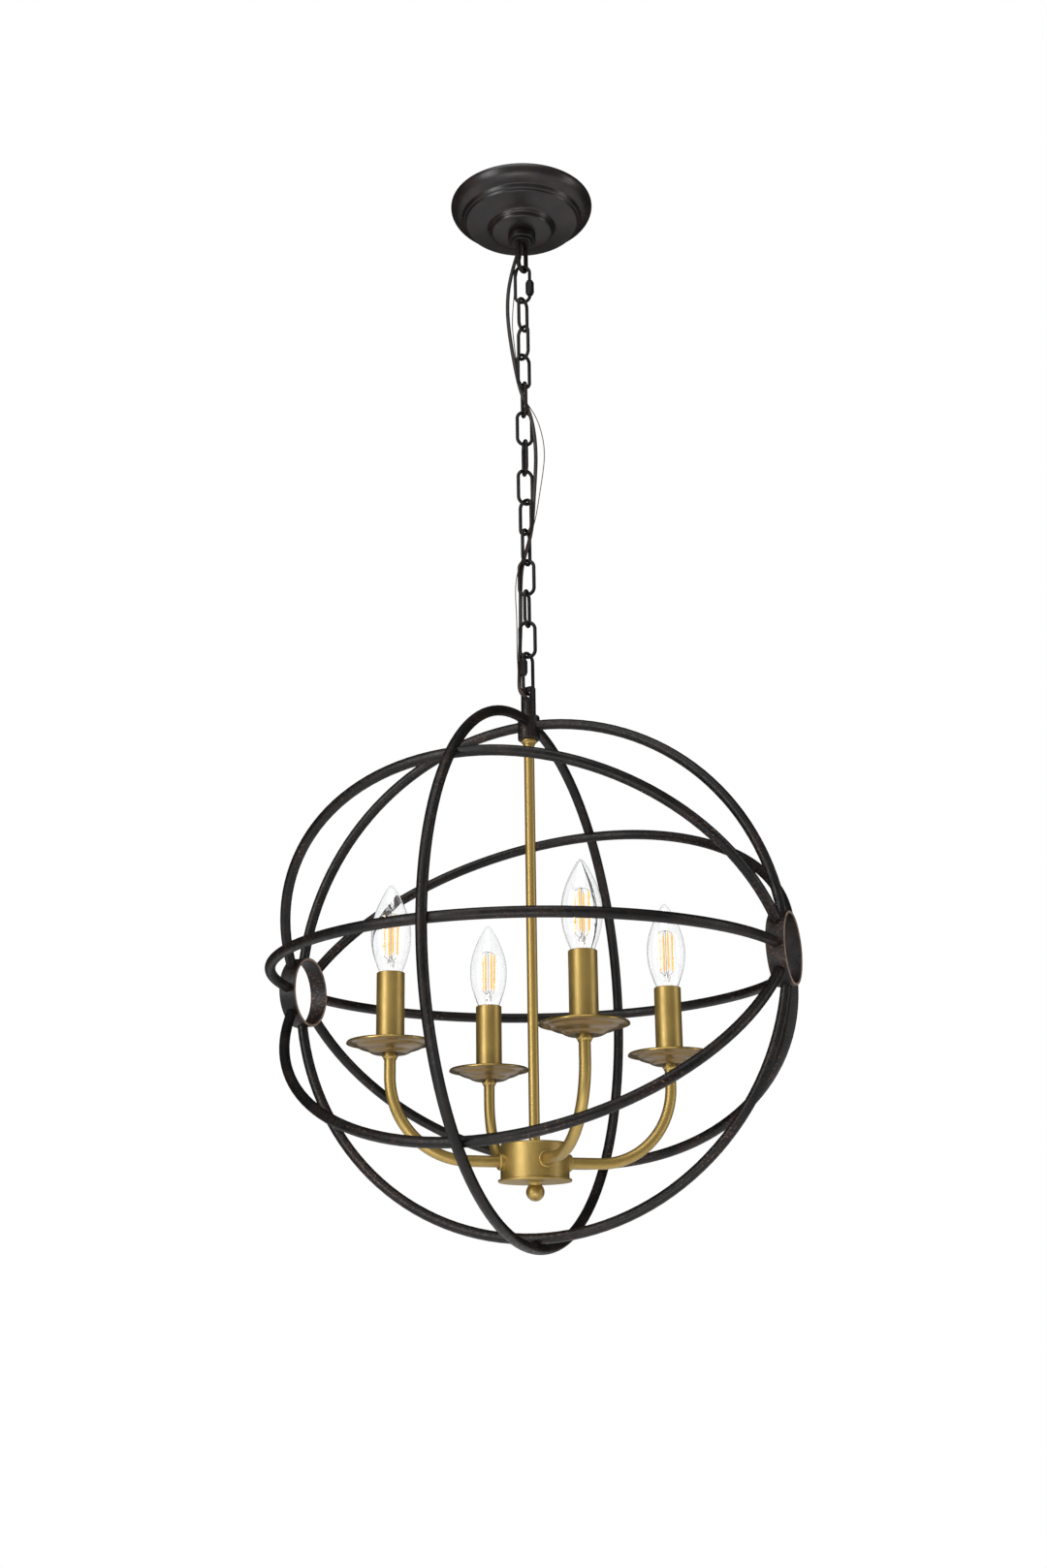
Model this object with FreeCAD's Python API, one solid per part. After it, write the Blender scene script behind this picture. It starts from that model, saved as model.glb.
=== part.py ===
import FreeCAD, Part
import math
import os

# Orb chandelier, hung from a ceiling by a chain. Millimetres, +Z up.
# The origin is the middle of the ceiling face of the crossbar; everything hangs below it.
# +X runs through the two side collars of the orb. The viewer of the photograph stands about 21 degrees from -Y.

V = FreeCAD.Vector
UP = V(0, 0, 1)

# ---------------------------------------------------------------- driving dimensions
# Fits and gaps.
THREAD_GAP = 0.03        # radial gap of a screwed fit
RUN_GAP = 0.05           # radial gap of a fit that turns or slides
LINK_GAP = 0.3           # play between two rings of the chain
SEAT_GAP = 0.3           # play where a loose piece stands in or on another

# Ceiling bracket and canopy.
STRAP_LENGTH = 108.0
STRAP_WIDTH = 20.0
STRAP_THICK = 1.8
SLOT_SPACING = 88.9      # outlet box screws
SLOT_WIDTH = 4.8
SLOT_LENGTH = 12.0
NIPPLE_RADIUS = 4.85
NIPPLE_BORE = 3.3
NIPPLE_IN_STEM = 5.0
NUT_FLATS = 15.0
NUT_THICK = 3.2
CANOPY_RADIUS = 71.6
CANOPY_DEPTH = 34.9
CANOPY_STEP_RADIUS = 56.8
CANOPY_STEP_DEPTH = 22.2
CANOPY_BOSS_RADIUS = 31.2
CANOPY_BOSS_DEPTH = 33.2
CANOPY_SHEET = 1.2
CANOPY_HOLE_GAP = 0.5
CANOPY_RIM = 2.3         # flat ring that shows round the screw collar
COLLAR_RADIUS = 13.9
COLLAR_HEIGHT = 8.2
LOOP_STEM_RADIUS = 10.9
LOOP_STEM_LENGTH = 17.5
LOOP_STEM_BELOW = 2.3    # how far the stem shows below the screw collar
LOOP_WIRE = 4.5
LOOP_WIDTH = 18.0
LOOP_REACH = 30.9        # stem's lower face to the middle of the eye's lowest wire
LOOP_TURN = 57.0
WIREWAY_RADIUS = 3.5     # bore for the cord through stems and hubs

# Chain.
VIEW_TURN = 21.15        # azimuth of the photograph's left to right line
LINK_WIRE = 3.4
LINK_LENGTH = 38.8
LINK_WIDTH = 17.8
# How far each link is turned about the chain's line from the photograph's left to right line.
LINK_TURNS = (56, -49, 40, -76, 14, -77, 22, -44, 62, -15, 73, -8)
QUICK_WIRE = 3.3
QUICK_LENGTH = 44.0
QUICK_WIDTH = 17.9
QUICK_TOP_TURN = -8.0
QUICK_BOTTOM_TURN = 52.0
SLEEVE_NUT_FLATS = 7.4
SLEEVE_NUT_LENGTH = 16.0
SLEEVE_NUT_TAPER = 2.6
SLEEVE_NUT_END = 0.68    # its end's radius as a share of its corners'
SLEEVE_NUT_OFFSET = 4.5  # middle of the nut from the middle of the quick link
QUICK_OPENING = 6.0      # the break in the leg that the nut closes

# Supply cord and earth wire.
CORD_DIAMETER = 3.7
EARTH_DIAMETER = 0.9

# Orb.
RING_RADIUS = 232.0
BAR_DIAMETER = 9.4
OUTER_RING_RADIUS = 238.0
OUTER_RING_SINK = 2.6
LEAN_FRONT = 138.5       # angle of the ring that leans towards the viewer, from +Y
LEAN_BACK = 45.8
SIDE_COLLAR_RADIUS = 32.1
SIDE_COLLAR_WALL = 2.4
SIDE_COLLAR_LENGTH = 16.5
SIDE_COLLAR_CHAMFER = 0.6

# Top hub.
STUB_RADIUS = 6.9
STUB_LENGTH = 28.2
STUB_FLAT_LENGTH = 14.6
STUB_THICK = 8.0
STUB_HOLE_RADIUS = 5.0
STUB_BRIDGE = 2.2        # metal above the cross hole
STUB_SPIGOT_RADIUS = 5.0
STUB_SPIGOT_LENGTH = 7.0
STUB_BORE = 3.6
STUB_ROUNDING = 0.8
HUB_RADIUS = 10.25
HUB_HEIGHT = 23.4
HUB_COVER = 1.3          # metal above the outer ring's bar
HUB_ROUNDING = 1.4
ROD_IN_HUB = 11.0

# Stem and cluster.
ROD_RADIUS = 4.75
FLANGE_RADIUS = 7.4
FLANGE_THICK = 1.9
FLANGE_TAPER = 2.6
FLANGE_NECK_RADIUS = 5.7
ARM_HEIGHT = -167.6      # arm's middle from the orb's centre
CLUSTER_RADIUS = 29.9
CLUSTER_HEIGHT = 33.0
CLUSTER_WALL = 1.2
CLUSTER_ROUNDING = 2.0
CLUSTER_ABOVE_ARM = 16.2
CAP_RADIUS = 32.1
CAP_THICK = 2.2
CAP_ROUNDING = 0.8
CLUSTER_NUT_FLATS = 17.0
FINIAL_BALL_RADIUS = 8.0
FINIAL_BALL_DROP = 8.3
FINIAL_FLARE_RADIUS = 7.5
FINIAL_NECK_RADIUS = 5.7
FINIAL_STUD_RADIUS = 3.2
FINIAL_STUD_LENGTH = 9.0

# Arms and lamps.
ARM_COUNT = 4
ARM_TURN = -50.0         # azimuth of the arm nearest the viewer
ARM_REACH = 130.0
ARM_RADIUS = 5.0
ARM_BORE = 3.7
ARM_BEND = 70.0
ARM_INSIDE = 4.5         # arm's end inside the cluster's wall
ARM_COLLAR_RADIUS = 7.4
ARM_COLLAR_THICK = 3.4
LEAD_PLAY = 0.7          # radial play of the leads in their tube
DISH_RIM_HEIGHT = -66.4  # dish rim from the orb's centre
DISH_RADIUS = 38.0
DISH_DEPTH = 12.2
DISH_FOOT_RADIUS = 13.6
DISH_SHEET = 1.0
DISH_LIP = 1.9           # how far the rim turns down
ARM_NUT_RADIUS = 6.9
ARM_NUT_HEIGHT = 4.8
ARM_NUT_NECK = 6.0
CANDLE_RADIUS = 12.25
CANDLE_WALL = 0.9
CANDLE_TOP = 58.6        # above the dish rim
SOCKET_RADIUS = 10.6
SOCKET_FOOT_RADIUS = 7.6
SOCKET_TOP = 48.0        # above the dish rim
SOCKET_BOTTOM = -3.6
SOCKET_FOOT_TOP = 12.0
SOCKET_ARM_DEPTH = 8.0
SOCKET_BORE_DEPTH = 25.0
BASE_RADIUS = 6.8
BASE_LENGTH = 26.0
BASE_FIT = 0.08
BASE_PITCH = 3.0
BASE_GROOVE = 0.5
BASE_COLLAR = 2.0
BASE_NOSE = 5.0
BASE_CONTACT = 3.0
BULB_RADIUS = 17.5
BULB_HEIGHT = 78.5       # bulb's tip above the candle sleeve
BULB_WALL = 0.8
BULB_TIP_RADIUS = 3.4
BULB_TIP_TURN = 55.0
BULB_NECK_RADIUS = 8.6
FILAMENT_RADIUS = 0.75
FILAMENT_LENGTH = 36.0
FILAMENT_SPREAD = 6.0
FILAMENT_COUNT = 4
MOUNT_HEIGHT = 24.0      # glass stem inside the bulb, from the base's top
MOUNT_RADIUS = 4.2
MOUNT_TIP_RADIUS = 2.2
HOLDER_THICK = 0.5

# The cord's and the earth wire's routes: how far right of the chain's line the photograph shows them,
# how far behind it they run, and their height.
CORD_ROUTE = (
    (-1.2, 0.2, -3), (-0.9, -0.2, -13), (-1.2, 0.1, -24), (-0.8, 0.0, -35), (-0.9, 0.2, -45),
    (-4.2, 1.6, -54.5), (-7.8, 2.7, -66), (-11.2, 2.7, -80), (-14.0, 1.4, -96), (-15.3, 0.3, -113),
    (-15.2, -0.2, -130), (-13.5, 0.1, -150), (-10.5, 1.0, -172), (-6.9, 1.9, -194), (-2.9, 1.8, -213),
    (2.7, -1.8, -230), (7.1, -4.6, -246), (9.9, -4.3, -265), (10.8, -2.4, -285), (9.9, -1.5, -305),
    (8.4, -1.4, -325), (7.3, -0.8, -343), (5.8, 0.9, -360), (2.5, 1.4, -376), (-1.6, 3.3, -388),
    (-4.8, 6.2, -401), (-5.9, 6.5, -419), (-6.2, 5.5, -440), (-6.3, 5.2, -462), (-7.3, 5.3, -482),
    (-7.7, 4.5, -498), (-8.0, 2.6, -510), (-8.3, 0.6, -519), (-8.0, -1.9, -526), (-6.3, -3.3, -530.6),
    (-4.0, -3.2, -532.8), (-1.6, -1.1, -535.0), (-0.8, 0.1, -539.4), (-0.8, 0.4, -545), (-0.8, 0.2, -550),
)
EARTH_ROUTE = (
    (2.0, -0.5, -3), (1.8, -0.2, -14), (2.1, -0.6, -26), (1.7, -0.4, -37), (1.4, -0.9, -47),
    (-0.4, -0.4, -57), (-2.6, 2.7, -66), (-5.6, 5.1, -77), (-7.6, 5.5, -90), (-8.8, 4.8, -105),
    (-10.3, 4.0, -122), (-10.8, 2.6, -140), (-9.0, 3.2, -160), (-6.9, 4.5, -180), (-5.5, 5.2, -196),
    (-4.1, 5.1, -208), (-0.6, 4.1, -217.5), (4.2, 3.1, -226.5), (10.0, 1.8, -237), (14.8, 1.0, -250),
    (18.3, 0.4, -267), (19.3, -0.4, -283),
    (17.7, -0.8, -299), (15.0, -1.3, -317), (12.2, -2.0, -335), (9.6, -2.7, -351), (5.2, -1.9, -366),
    (0.7, -1.8, -381), (-3.9, -2.0, -393), (-8.1, -1.6, -405), (-10.6, -0.7, -418), (-10.8, 0.4, -434),
    (-10.0, 0.9, -450), (-9.9, 1.1, -466), (-10.0, 1.4, -484), (-9.6, 0.2, -498), (-9.2, -1.8, -511),
    (-8.7, -3.6, -520), (-7.4, -5.5, -527), (-4.5, -6.7, -531.5), (-1.7, -5.8, -534.2),
    (0.3, -3.1, -535.2), (0.9, -2.4, -539.6), (1.5, -2.0, -545), (1.6, -1.8, -550),
)

# ---------------------------------------------------------------- places that follow from them
HEX_ANGLE = 30.0
ARC_BITE = 1 - math.sqrt(0.5)   # where a quarter round's middle lies, as a share of its radius
NUT_CORNER = 1 / math.cos(math.radians(HEX_ANGLE))
BAR = BAR_DIAMETER / 2
LINK_PITCH = LINK_LENGTH - 2 * LINK_WIRE - LINK_GAP
LINK_REACH = LINK_LENGTH - LINK_WIRE          # top wire to bottom wire
QUICK_REACH = QUICK_LENGTH - QUICK_WIRE
LINK_COUNT = len(LINK_TURNS)

COLLAR_TOP = -CANOPY_DEPTH
COLLAR_BOTTOM = COLLAR_TOP - COLLAR_HEIGHT
STEM_BOTTOM = COLLAR_BOTTOM - LOOP_STEM_BELOW
STEM_TOP = STEM_BOTTOM + LOOP_STEM_LENGTH
LOOP_WIRE_Z = STEM_BOTTOM - LOOP_REACH
QUICK_TOP_Z = LOOP_WIRE_Z + (LOOP_WIRE + QUICK_WIRE) / 2 + LINK_GAP
QUICK_TOP_END = QUICK_TOP_Z - QUICK_REACH
FIRST_LINK_Z = QUICK_TOP_END + (QUICK_WIRE + LINK_WIRE) / 2 + LINK_GAP
LAST_LINK_Z = FIRST_LINK_Z - (LINK_COUNT - 1) * LINK_PITCH
QUICK_BOTTOM_Z = LAST_LINK_Z - LINK_REACH + (QUICK_WIRE + LINK_WIRE) / 2 + LINK_GAP
QUICK_BOTTOM_END = QUICK_BOTTOM_Z - QUICK_REACH

# The stub's hole clears the inside of the quick link's bend at both of the stub's flats.
QUICK_BEND = (QUICK_WIDTH - QUICK_WIRE) / 2
QUICK_INSIDE = QUICK_BEND - QUICK_WIRE / 2 - LINK_GAP
BRIDGE_Z = QUICK_BOTTOM_END + QUICK_BEND - math.sqrt(QUICK_INSIDE ** 2 - (STUB_THICK / 2) ** 2)
STUB_HOLE_Z = BRIDGE_Z - STUB_HOLE_RADIUS
STUB_TOP = BRIDGE_Z + STUB_BRIDGE
HUB_TOP = STUB_TOP - STUB_LENGTH
HUB_BOTTOM = HUB_TOP - HUB_HEIGHT
ORB_Z = HUB_TOP - HUB_COVER - BAR - OUTER_RING_RADIUS + OUTER_RING_SINK
ARM_Z = ORB_Z + ARM_HEIGHT
CLUSTER_TOP = ARM_Z + CLUSTER_ABOVE_ARM
CAP_BOTTOM = CLUSTER_TOP - CLUSTER_HEIGHT
CAP_TOP = CAP_BOTTOM + CAP_THICK
ROD_TOP = HUB_BOTTOM + ROD_IN_HUB
ROD_BOTTOM = CAP_TOP + SEAT_GAP
DISH_Z = ORB_Z + DISH_RIM_HEIGHT
DISH_BOTTOM = DISH_Z - DISH_DEPTH
DISH_FLOOR = DISH_BOTTOM + DISH_SHEET
CANDLE_Z = DISH_Z + CANDLE_TOP
SOCKET_Z = DISH_Z + SOCKET_BOTTOM
SOCKET_TOP_Z = DISH_Z + SOCKET_TOP
SOCKET_FLOOR_Z = SOCKET_TOP_Z - SOCKET_BORE_DEPTH
BASE_Z = SOCKET_FLOOR_Z + SEAT_GAP
BASE_TOP_Z = BASE_Z + BASE_LENGTH
LEAD_END_Z = CORD_ROUTE[-1][2] - SEAT_GAP


# ---------------------------------------------------------------- helpers
def turned(shape, degrees):
    """shape turned about the Z axis."""
    moved = shape.copy()
    moved.rotate(V(0, 0, 0), UP, degrees)
    return moved


def cylinder(radius, low, high, x=0.0, y=0.0):
    return Part.makeCylinder(radius, high - low, V(x, y, low), UP)


def tube(radius, bore, low, high):
    return cylinder(radius, low, high).cut(cylinder(bore, low - 1, high + 1))


def outline_edges(start, steps):
    """Edges from start through steps: (r, z) is a straight step, ((r, z), (r, z)) an arc by way of the first."""
    edges = []
    here = V(start[0], 0, start[1])
    for step in steps:
        if isinstance(step[0], tuple):
            middle = V(step[0][0], 0, step[0][1])
            there = V(step[1][0], 0, step[1][1])
            edges.append(Part.Arc(here, middle, there).toShape())
        else:
            there = V(step[0], 0, step[1])
            edges.append(Part.LineSegment(here, there).toShape())
        here = there
    return edges


def spun(start, steps):
    """A solid of revolution about Z from a closed outline."""
    face = Part.Face(Part.Wire(outline_edges(start, steps)))
    solid = face.revolve(V(0, 0, 0), UP, 360)
    return Part.makeSolid(solid) if solid.ShapeType == "Shell" else solid


def hexagon(flats, bore, low, high):
    corner = flats / 2 * NUT_CORNER
    turns = [math.radians(angle) for angle in range(0, 361, 60)]
    points = [V(corner * math.cos(turn), corner * math.sin(turn), low) for turn in turns]
    prism = Part.Face(Part.makePolygon(points)).extrude(V(0, 0, high - low))
    return prism.cut(cylinder(bore, low - 1, high + 1))


def swept(edges, radius):
    """A round bar along a chain of tangent edges."""
    path = Part.Wire(edges)
    first = path.OrderedEdges[0]
    start = first.valueAt(first.FirstParameter)
    along = first.tangentAt(first.FirstParameter)
    ring = Part.Wire(Part.makeCircle(radius, start, along))
    return path.makePipeShell([ring], True, False)


def rounded_route(points):
    """Straight runs joined by tangent arcs, each as large as its two runs allow. Returns the edges and the arc radii."""
    edges = []
    radii = []
    here = points[0]
    for before, corner, after in zip(points, points[1:], points[2:]):
        back = before - corner
        on = after - corner
        half_turn = (math.pi - back.getAngle(on)) / 2
        reach = 0.45 * min(back.Length, on.Length)
        radii.append(reach / math.tan(half_turn))
        back.normalize()
        on.normalize()
        arc_start = corner + back * reach
        arc_end = corner + on * reach
        inward = (back + on).normalize()
        depth = radii[-1] * (1 / math.cos(half_turn) - 1)
        edges.append(Part.LineSegment(here, arc_start).toShape())
        edges.append(Part.Arc(arc_start, corner + inward * depth, arc_end).toShape())
        here = arc_end
    edges.append(Part.LineSegment(here, points[-1]).toShape())
    return edges, radii


def route_solid(name, points, radius):
    edges, radii = rounded_route(points)
    solid = swept(edges, radius)
    length = sum(edge.Length for edge in edges)
    share = solid.Volume / (math.pi * radius ** 2 * length)
    print(name, "length", round(length, 1), "tightest radius", round(min(radii), 1), "volume share", round(share, 4))
    return solid


# ---------------------------------------------------------------- ceiling bracket and canopy
def crossbar():
    start = V(-STRAP_LENGTH / 2, -STRAP_WIDTH / 2, -STRAP_THICK)
    bar = Part.makeBox(STRAP_LENGTH, STRAP_WIDTH, STRAP_THICK, start)
    upright = [edge for edge in bar.Edges if abs(edge.tangentAt(edge.FirstParameter).z) > 0.9]
    bar = bar.makeFillet(STRAP_WIDTH / 4, upright)
    bar = bar.cut(cylinder(NIPPLE_RADIUS + THREAD_GAP, -2 * STRAP_THICK, STRAP_THICK))
    straight = SLOT_LENGTH - SLOT_WIDTH
    for side in (-1, 1):
        middle = side * SLOT_SPACING / 2
        corner = V(middle - straight / 2, -SLOT_WIDTH / 2, -2 * STRAP_THICK)
        slot = Part.makeBox(straight, SLOT_WIDTH, 4 * STRAP_THICK, corner)
        for end in (-1, 1):
            x = middle + end * straight / 2
            slot = slot.fuse(cylinder(SLOT_WIDTH / 2, -2 * STRAP_THICK, 2 * STRAP_THICK, x))
        bar = bar.cut(slot)
    return bar


def ceiling_nipple():
    return tube(NIPPLE_RADIUS, NIPPLE_BORE, STEM_TOP - NIPPLE_IN_STEM, -SEAT_GAP)


def nipple_nuts():
    bore = NIPPLE_RADIUS + THREAD_GAP
    upper = hexagon(NUT_FLATS, bore, -STRAP_THICK - NUT_THICK, -STRAP_THICK)
    lower = hexagon(NUT_FLATS, bore, STEM_TOP, STEM_TOP + NUT_THICK)
    return Part.makeCompound([upper, lower])


def canopy_outline(inset, lift):
    """The canopy's spun outline from the ceiling to the middle, drawn in by the sheet's thickness for its inside."""
    radius = CANOPY_RADIUS - inset
    step = CANOPY_STEP_RADIUS - inset
    boss = CANOPY_BOSS_RADIUS - inset
    step_z = lift - CANOPY_STEP_DEPTH
    boss_z = lift - CANOPY_BOSS_DEPTH
    return [
        (radius - 2.6, -9.2),
        ((radius - 6.6, -13.2 + lift / 2), (step + 5.6, -15.4 + lift)),
        ((step + 4.2, step_z + 5.4), (step + 2.4, step_z + 3.2)),
        (step + 1.2, step_z + 3.0),
        ((step + 1.1, step_z + 0.9), (step - 1.2, step_z)),
        (boss + 4.0, step_z - 2.6),
        ((boss + 2.4, step_z - 5.0), (boss + 0.4, step_z - 5.6)),
        ((boss + 1.0, boss_z + 2.4), (boss - 0.8, boss_z)),
        (COLLAR_RADIUS + CANOPY_RIM, lift - CANOPY_DEPTH),
    ]


def canopy():
    hole = LOOP_STEM_RADIUS + CANOPY_HOLE_GAP
    outer = spun(
        (0, 0),
        [(CANOPY_RADIUS - 2.4, 0), ((CANOPY_RADIUS - 0.7, -1.6), (CANOPY_RADIUS, -4.0)), (CANOPY_RADIUS, -4.6)]
        + canopy_outline(0, 0) + [(0, -CANOPY_DEPTH), (0, 0)],
    )
    inner = spun(
        (0, 1),
        [(CANOPY_RADIUS - 2 * CANOPY_SHEET - 2.4, 1), (CANOPY_RADIUS - CANOPY_SHEET - 0.3, -4.6)]
        + canopy_outline(CANOPY_SHEET, CANOPY_SHEET) + [(0, CANOPY_SHEET - CANOPY_DEPTH), (0, 1)],
    )
    return outer.cut(inner).cut(cylinder(hole, -2 * CANOPY_DEPTH, 1))


def screw_collar():
    chamfer = 0.8
    bore = LOOP_STEM_RADIUS + RUN_GAP
    return spun(
        (bore, COLLAR_TOP),
        [
            (COLLAR_RADIUS - chamfer, COLLAR_TOP),
            (COLLAR_RADIUS, COLLAR_TOP - chamfer),
            (COLLAR_RADIUS, COLLAR_BOTTOM + 2 * chamfer),
            ((COLLAR_RADIUS - 0.6, COLLAR_BOTTOM + 0.6), (COLLAR_RADIUS - 2 * chamfer, COLLAR_BOTTOM)),
            (bore, COLLAR_BOTTOM),
            (bore, COLLAR_TOP),
        ],
    )


def canopy_loop():
    """The threaded stem that the screw collar turns on, with the eye that carries the chain."""
    chamfer = 0.7
    stem = spun(
        (0, STEM_TOP),
        [
            (LOOP_STEM_RADIUS, STEM_TOP),
            (LOOP_STEM_RADIUS, STEM_BOTTOM + chamfer),
            (LOOP_STEM_RADIUS - chamfer, STEM_BOTTOM),
            (0, STEM_BOTTOM),
            (0, STEM_TOP),
        ],
    )
    half = (LOOP_WIDTH - LOOP_WIRE) / 2
    bend_z = LOOP_WIRE_Z + half
    root_z = STEM_BOTTOM + LOOP_WIRE / 2
    eye = swept(
        [
            Part.LineSegment(V(half, 0, root_z), V(half, 0, bend_z)).toShape(),
            Part.Arc(V(half, 0, bend_z), V(0, 0, LOOP_WIRE_Z), V(-half, 0, bend_z)).toShape(),
            Part.LineSegment(V(-half, 0, bend_z), V(-half, 0, root_z)).toShape(),
        ],
        LOOP_WIRE / 2,
    )
    loop = stem.fuse(eye)
    loop = loop.cut(cylinder(WIREWAY_RADIUS, STEM_BOTTOM - 1, STEM_TOP + 1))
    loop = loop.cut(cylinder(NIPPLE_RADIUS + THREAD_GAP, STEM_TOP - NIPPLE_IN_STEM, STEM_TOP + 1))
    return turned(loop, VIEW_TURN + LOOP_TURN)


# ---------------------------------------------------------------- chain
def oval(width, reach, wire, top_z):
    """A closed oval ring in the XZ plane. top_z is the middle of its top wire."""
    half = (width - wire) / 2
    upper = top_z - half
    lower = top_z - reach + half
    middle = (upper + lower) / 2
    return swept(
        [
            Part.LineSegment(V(half, 0, middle), V(half, 0, upper)).toShape(),
            Part.Arc(V(half, 0, upper), V(0, 0, top_z), V(-half, 0, upper)).toShape(),
            Part.LineSegment(V(-half, 0, upper), V(-half, 0, lower)).toShape(),
            Part.Arc(V(-half, 0, lower), V(0, 0, top_z - reach), V(half, 0, lower)).toShape(),
            Part.LineSegment(V(half, 0, lower), V(half, 0, middle)).toShape(),
        ],
        wire / 2,
    )


def chain_link(index):
    top_z = FIRST_LINK_Z - index * LINK_PITCH
    link = oval(LINK_WIDTH, LINK_REACH, LINK_WIRE, top_z)
    return turned(link, VIEW_TURN + LINK_TURNS[index])


def quick_link(top_z, turn, side):
    """An open oval: side is +1 or -1, the side of the middle that its opening and nut sit on, up or down."""
    half = (QUICK_WIDTH - QUICK_WIRE) / 2
    upper = top_z - half
    lower = top_z - QUICK_REACH + half
    middle = (upper + lower) / 2
    break_middle = middle + side * SLEEVE_NUT_OFFSET
    high = break_middle + QUICK_OPENING / 2
    low = break_middle - QUICK_OPENING / 2
    link = swept(
        [
            Part.LineSegment(V(half, 0, high), V(half, 0, upper)).toShape(),
            Part.Arc(V(half, 0, upper), V(0, 0, top_z), V(-half, 0, upper)).toShape(),
            Part.LineSegment(V(-half, 0, upper), V(-half, 0, lower)).toShape(),
            Part.Arc(V(-half, 0, lower), V(0, 0, top_z - QUICK_REACH), V(half, 0, lower)).toShape(),
            Part.LineSegment(V(half, 0, lower), V(half, 0, low)).toShape(),
        ],
        QUICK_WIRE / 2,
    )
    return turned(link, turn)


def sleeve_nut(top_z, turn, side):
    """The long hexagonal nut that closes a quick link, with turned-down ends."""
    half = (QUICK_WIDTH - QUICK_WIRE) / 2
    middle = top_z - QUICK_REACH / 2 + side * SLEEVE_NUT_OFFSET
    low = middle - SLEEVE_NUT_LENGTH / 2
    high = middle + SLEEVE_NUT_LENGTH / 2
    corner = SLEEVE_NUT_FLATS / 2 * NUT_CORNER
    end = corner * SLEEVE_NUT_END
    taper = SLEEVE_NUT_TAPER
    clear = corner + 0.01
    nut = hexagon(SLEEVE_NUT_FLATS, QUICK_WIRE / 2 + RUN_GAP, low, high)
    barrel = spun(
        (0, low),
        [(end, low), (clear, low + taper), (clear, high - taper), (end, high), (0, high), (0, low)],
    )
    nut = nut.common(barrel)
    nut.translate(V(half, 0, 0))
    return turned(nut, turn)


def placed(route):
    across = V(math.cos(math.radians(VIEW_TURN)), math.sin(math.radians(VIEW_TURN)), 0)
    behind = V(-across.y, across.x, 0)
    return [across * right + behind * back + UP * z for right, back, z in route]


def supply_cord():
    return route_solid("supply_cord", placed(CORD_ROUTE), CORD_DIAMETER / 2)


def earth_wire():
    return route_solid("earth_wire", placed(EARTH_ROUTE), EARTH_DIAMETER / 2)


# ---------------------------------------------------------------- top hub
def hub_loop():
    """A stub with two flats and a cross hole for the lower quick link, screwed into the top hub."""
    edge = STUB_ROUNDING
    bite = edge * ARC_BITE
    stub = spun(
        (0, STUB_TOP),
        [
            (STUB_RADIUS - edge, STUB_TOP),
            ((STUB_RADIUS - bite, STUB_TOP - bite), (STUB_RADIUS, STUB_TOP - edge)),
            (STUB_RADIUS, HUB_TOP),
            (STUB_SPIGOT_RADIUS, HUB_TOP),
            (STUB_SPIGOT_RADIUS, HUB_TOP - STUB_SPIGOT_LENGTH),
            (0, HUB_TOP - STUB_SPIGOT_LENGTH),
            (0, STUB_TOP),
        ],
    )
    for side in (-1, 1):
        flat = Part.makeBox(STUB_RADIUS, 4 * STUB_RADIUS, STUB_FLAT_LENGTH + 1, V(0, -2 * STUB_RADIUS, 0))
        start = STUB_THICK / 2 if side > 0 else -STUB_THICK / 2 - STUB_RADIUS
        flat.translate(V(start, 0, STUB_TOP - STUB_FLAT_LENGTH))
        stub = stub.cut(flat)
    hole = Part.makeCylinder(STUB_HOLE_RADIUS, 4 * STUB_RADIUS, V(-2 * STUB_RADIUS, 0, STUB_HOLE_Z), V(1, 0, 0))
    stub = stub.cut(hole)
    stub = stub.cut(cylinder(STUB_BORE, HUB_TOP - 2 * STUB_SPIGOT_LENGTH, STUB_HOLE_Z))
    return turned(stub, VIEW_TURN + QUICK_BOTTOM_TURN)


def hub_blank():
    return cylinder(HUB_RADIUS, HUB_BOTTOM, HUB_TOP)


def top_hub():
    """The block that the upright bars are welded to. The stem screws in from below and the stub from above."""
    fold = HUB_ROUNDING
    bite = fold * ARC_BITE
    hub = spun(
        (0, HUB_TOP),
        [
            (HUB_RADIUS - fold, HUB_TOP),
            ((HUB_RADIUS - bite, HUB_TOP - bite), (HUB_RADIUS, HUB_TOP - fold)),
            (HUB_RADIUS, HUB_BOTTOM + fold),
            ((HUB_RADIUS - bite, HUB_BOTTOM + bite), (HUB_RADIUS - fold, HUB_BOTTOM)),
            (0, HUB_BOTTOM),
            (0, HUB_TOP),
        ],
    )
    floor = HUB_TOP - STUB_SPIGOT_LENGTH - SEAT_GAP
    hub = hub.cut(cylinder(STUB_SPIGOT_RADIUS + THREAD_GAP, floor, HUB_TOP + 1))
    hub = hub.cut(cylinder(ROD_RADIUS + THREAD_GAP, HUB_BOTTOM - 1, ROD_TOP + SEAT_GAP))
    return hub.cut(cylinder(WIREWAY_RADIUS, HUB_BOTTOM - 1, HUB_TOP + 1))


# ---------------------------------------------------------------- orb
def hoop(radius, normal, sink=0.0):
    return Part.makeTorus(radius, BAR, V(0, 0, ORB_Z - sink), normal)


def lean(angle):
    """The normal of a ring through both side collars, whose upper half lies at that angle from +Y."""
    return V(0, -math.sin(math.radians(angle)), math.cos(math.radians(angle)))


def side_collar_place():
    """How far from the middle a side collar sits, where the bars reach its wall."""
    return math.sqrt(RING_RADIUS ** 2 - SIDE_COLLAR_RADIUS ** 2)


def pole_blank():
    start = V(-2 * RING_RADIUS, 0, ORB_Z)
    return Part.makeCylinder(SIDE_COLLAR_RADIUS, 4 * RING_RADIUS, start, V(1, 0, 0))


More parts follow.
